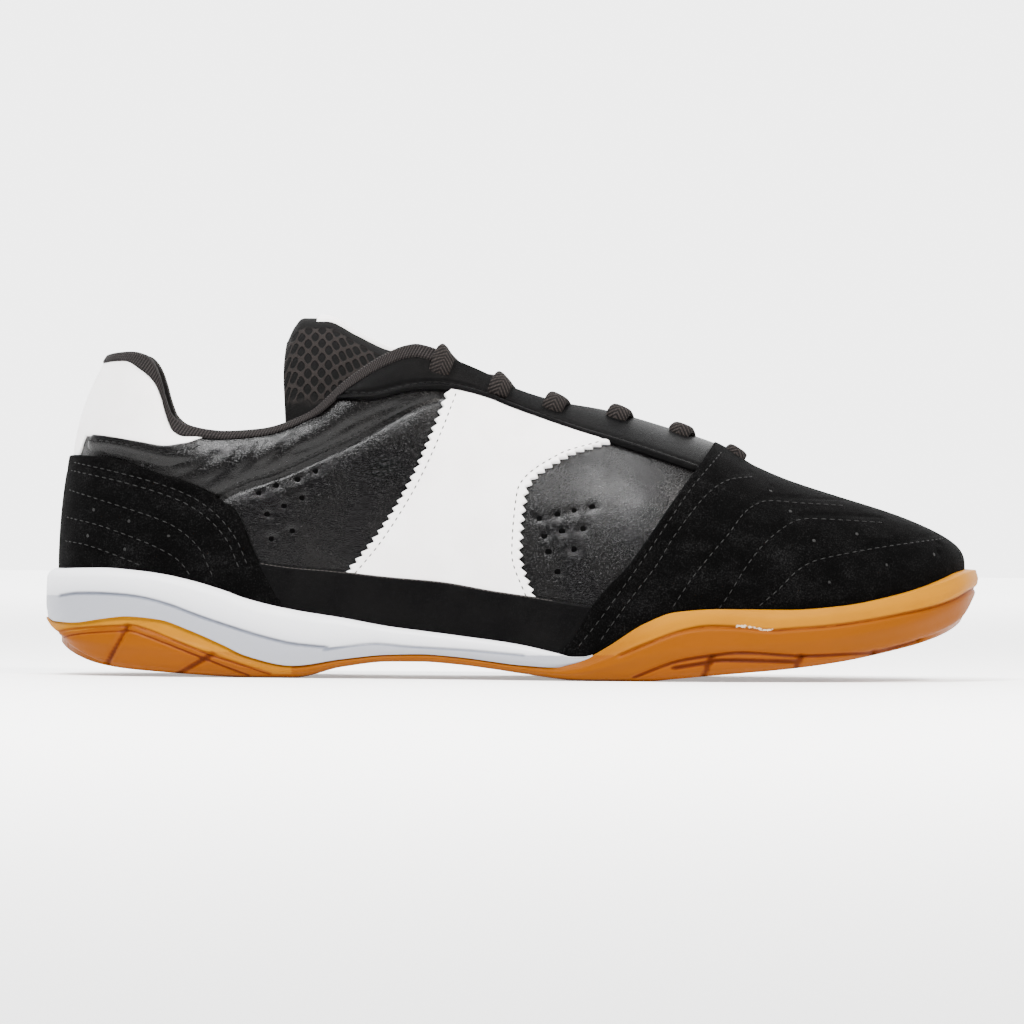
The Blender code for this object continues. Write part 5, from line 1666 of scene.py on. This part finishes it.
def hole_tree():
    tree, start, end, add = new_tree("punched_holes", ["Size"])
    dish = add("GeometryNodeMeshUVSphere", None, {"Segments": 14, "Rings": 6, "Radius": 0.5})
    way = add("GeometryNodeInputNamedAttribute", {"data_type": "FLOAT_VECTOR"}, {0: "way"})
    turned = add("FunctionNodeAlignEulerToVector", {"axis": "Z"}, {"Vector": way.outputs[0]})
    thin = add("ShaderNodeMath", {"operation": "MULTIPLY"}, {0: start.outputs["Size"], 1: 0.12})
    size = add("ShaderNodeCombineXYZ", None, {
        0: start.outputs["Size"], 1: start.outputs["Size"], 2: thin.outputs[0]})
    repeat(tree, start, end, add, start.outputs["Geometry"], dish, turned, size)
    return tree


stitched_row, punched_holes = stitch_tree(), hole_tree()


# %% Turning a tree's result into a plain piece
def grown(name, mesh, tree, sizes, finish):
    """Runs a tree on a mesh once, and keeps what it makes as a plain mesh."""
    seed = in_scene(name, mesh)
    modifier = seed.modifiers.new("repeat", "NODES")
    modifier.node_group = tree
    inputs = {i.name: i.identifier for i in tree.interface.items_tree if i.in_out == "INPUT"}
    for label, value in sizes.items():
        modifier[inputs[label]] = value
    modifier[inputs["Finish"]] = finish
    bpy.context.view_layer.update()
    graph = bpy.context.evaluated_depsgraph_get()
    result = bpy.data.meshes.new_from_object(seed.evaluated_get(graph))
    result.name = name
    seed.modifiers.remove(modifier)
    seed.data = result
    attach(seed, "root")
    return seed


def line_mesh(name, lines):
    mesh = bpy.data.meshes.new(name)
    points, edges = [], []
    for line in lines:
        edges += [(len(points) + i, len(points) + i + 1) for i in range(len(line) - 1)]
        points += (np.array(line) - SHIFT).tolist()
    mesh.from_pydata(points, edges, [])
    return mesh


def stitches(name, lines, finish, pitch, length, thick):
    """Rows of stitches along some lines; the three sizes are in millimetres."""
    sizes = {"Pitch": pitch * MM, "Length": length * MM, "Thickness": thick * MM}
    return grown(name, line_mesh(name, lines), stitched_row, sizes, finish)


def holes(name, tree, spots, finish, size):
    found = [cast(tree, side, np.array(spots) * MM) for side in (LATERAL, MEDIAL)]
    points, normals = (np.concatenate(part) for part in zip(*found))
    mesh = bpy.data.meshes.new(name)
    mesh.from_pydata((points - SHIFT).tolist(), [], [])
    way = mesh.attributes.new("way", "FLOAT_VECTOR", "POINT")
    way.data.foreach_set("vector", normals.astype(np.float32).ravel())
    return grown(name, mesh, punched_holes, {"Size": size * MM}, finish)


def beside(line, start, end, up):
    """A row beside a panel's edge: the edge moved up by some millimetres."""
    x = np.linspace(start, end, 60) * MM
    return np.stack([x, line(x) + up * MM], axis=1) / MM


counter_tree, cap_tree = tree_of(counter), tree_of(cap)
stitches("counter_stitches", traced(counter_tree, COUNTER_ROWS), grey_thread,
         2.7, 1.9, 0.36)
stitches("toe_stitches", traced(cap_tree, TOE_ROWS), grey_thread,
         2.7, 1.9, 0.36)
seam_row = [(x - 0.8, z + 1.5) for x, z in COLLAR_SEAM[:-1]]
stitches("collar_stitches", traced(upper_tree, [seam_row]), black_thread,
         2.4, 1.8, 0.42)
stitches("tab_stitches", traced(tree_of(strip), [beside(TAB_BOTTOM, 12, 47, -1.7)]),
         black_thread, 2.4, 1.8, 0.42)
for name, side in SIDES:
    lines = [cast(tree_of(stays[side]), side, run(beside(EYESTAY_LOW, 88, 200, 2.5)))[0]]
    stitches("eyestay_stitches_" + name, lines, black_thread, 2.3, 1.7, 0.42)
# Along each band's top edge, a near-continuous row of grey threads paints the highlight that its
# raw edge catches; it is no seam.
for name, side in SIDES:
    lines = [cast(tree_of(bands[side]), side, run(beside(BAND_TOP, 67, 154, -0.45)))[0]]
    stitches("band_edge_highlight_" + name, lines, dark_thread, 1.3, 1.35, 0.30)
# The vent holes are dark discs: the black lining behind them and painted shade in them.
holes("vent_holes", upper_tree, VENT_HOLES, hole_black, 2.3)
holes("counter_holes", counter_tree, COUNTER_DOTS, grey_thread, 1.1)
holes("toe_holes", cap_tree, TOE_DOTS, grey_thread, 1.1)
for name, side in SIDES:
    tree = tree_of(saddles[side])
    t = np.linspace(0.03, 0.97, 200)
    lines = []
    for edge, inward in ((REAR, 3.4 * MM), (FRONT, -3.4 * MM)):
        x = saddle_edge(edge, t) + inward
        lines.append(cast(tree, side, np.stack([x, saddle_height(t, x)], axis=1))[0])
    stitches("saddle_stitches_" + name, lines, dark_thread, 2.2, 1.3, 0.42)


# %% [markdown]
# ## The stage
# A pale floor, three soft lights and a bright backdrop stand in for a photographer's
# table. The floor glows more with distance, so that it runs into the backdrop with no
# line between them. The camera is far off and its lens is long, because the photograph
# has hardly any perspective.

# %% Floor and lights
def pale_floor():
    mesh = bpy.data.meshes.new("floor")
    mesh.from_pydata([(-4, -4, 0), (4, -4, 0), (4, 4, 0), (-4, 4, 0)], [], [(0, 1, 2, 3)])
    paint = Paint("pale_floor")
    far = paint.where(paint.split(paint.place())[1], 200.0, 2400.0)
    mesh.materials.append(paint.done({
        "Base Color": (0.96, 0.96, 0.96), "Roughness": 0.6, "Specular IOR Level": 0.2,
        "Emission Color": paint.mix((0.11, 0.11, 0.11), (0.85, 0.85, 0.85), far),
        "Emission Strength": 4.0}))
    made = in_scene("floor", mesh)


def soft_light(name, spot, target, size, power, colour=(1, 1, 1)):
    lamp = bpy.data.lights.new(name, "AREA")
    lamp.shape, lamp.size, lamp.energy, lamp.color = "DISK", size, power, colour
    made = in_scene(name, lamp)
    made.location = spot
    aim = Vector(target) - Vector(spot)
    made.rotation_mode = "QUATERNION"
    made.rotation_quaternion = aim.to_track_quat("-Z", "Y")


def studio_world(front, back):
    """A bright backdrop behind the shoe, and a dark room on the camera's side."""
    world = bpy.data.worlds.new("studio")
    world.use_nodes = True
    tree = world.node_tree
    way = tree.nodes.new("ShaderNodeTexCoord")
    parts = tree.nodes.new("ShaderNodeSeparateXYZ")
    share = tree.nodes.new("ShaderNodeMapRange")
    share.interpolation_type = "SMOOTHSTEP"
    for i, value in ((1, -0.15), (2, 0.60), (3, front), (4, back)):
        share.inputs[i].default_value = value
    tree.links.new(way.outputs["Generated"], parts.inputs[0])
    tree.links.new(parts.outputs[1], share.inputs[0])
    tree.links.new(share.outputs[0], tree.nodes["Background"].inputs["Strength"])
    tree.nodes["Background"].inputs["Color"].default_value = (1, 1, 1, 1)
    bpy.context.scene.world = world


pale_floor()
soft_light("key", (-0.42, -0.78, 1.22), (0, 0, 0.05), 0.5, 50)
soft_light("fill", (0.62, -0.80, 1.05), (0.05, 0, 0.04), 0.45, 36, (1, 0.95, 0.91))
soft_light("top", (-0.1, -0.1, 1.3), (0, 0, 0.05), 0.6, 18)
studio_world(0.035, 4.5)

# %% Camera
PICTURE_WIDTH, CAMERA_FAR, ROLL_DEG = 0.3131, 2.4, 0.45
PICTURE_CENTRE = (142.2 * MM - SHIFT[0], 50.6 * MM)
lens = bpy.data.cameras.new("camera")
lens.lens = lens.sensor_width * CAMERA_FAR / PICTURE_WIDTH
camera = in_scene("camera", lens)
camera.location = (PICTURE_CENTRE[0], -CAMERA_FAR, PICTURE_CENTRE[1])
camera.rotation_mode = "QUATERNION"
look = Vector((0, 1, 0)).to_track_quat("-Z", "Y")
camera.rotation_quaternion = look @ Quaternion((0, 0, 1), math.radians(ROLL_DEG))
bpy.context.scene.camera = camera
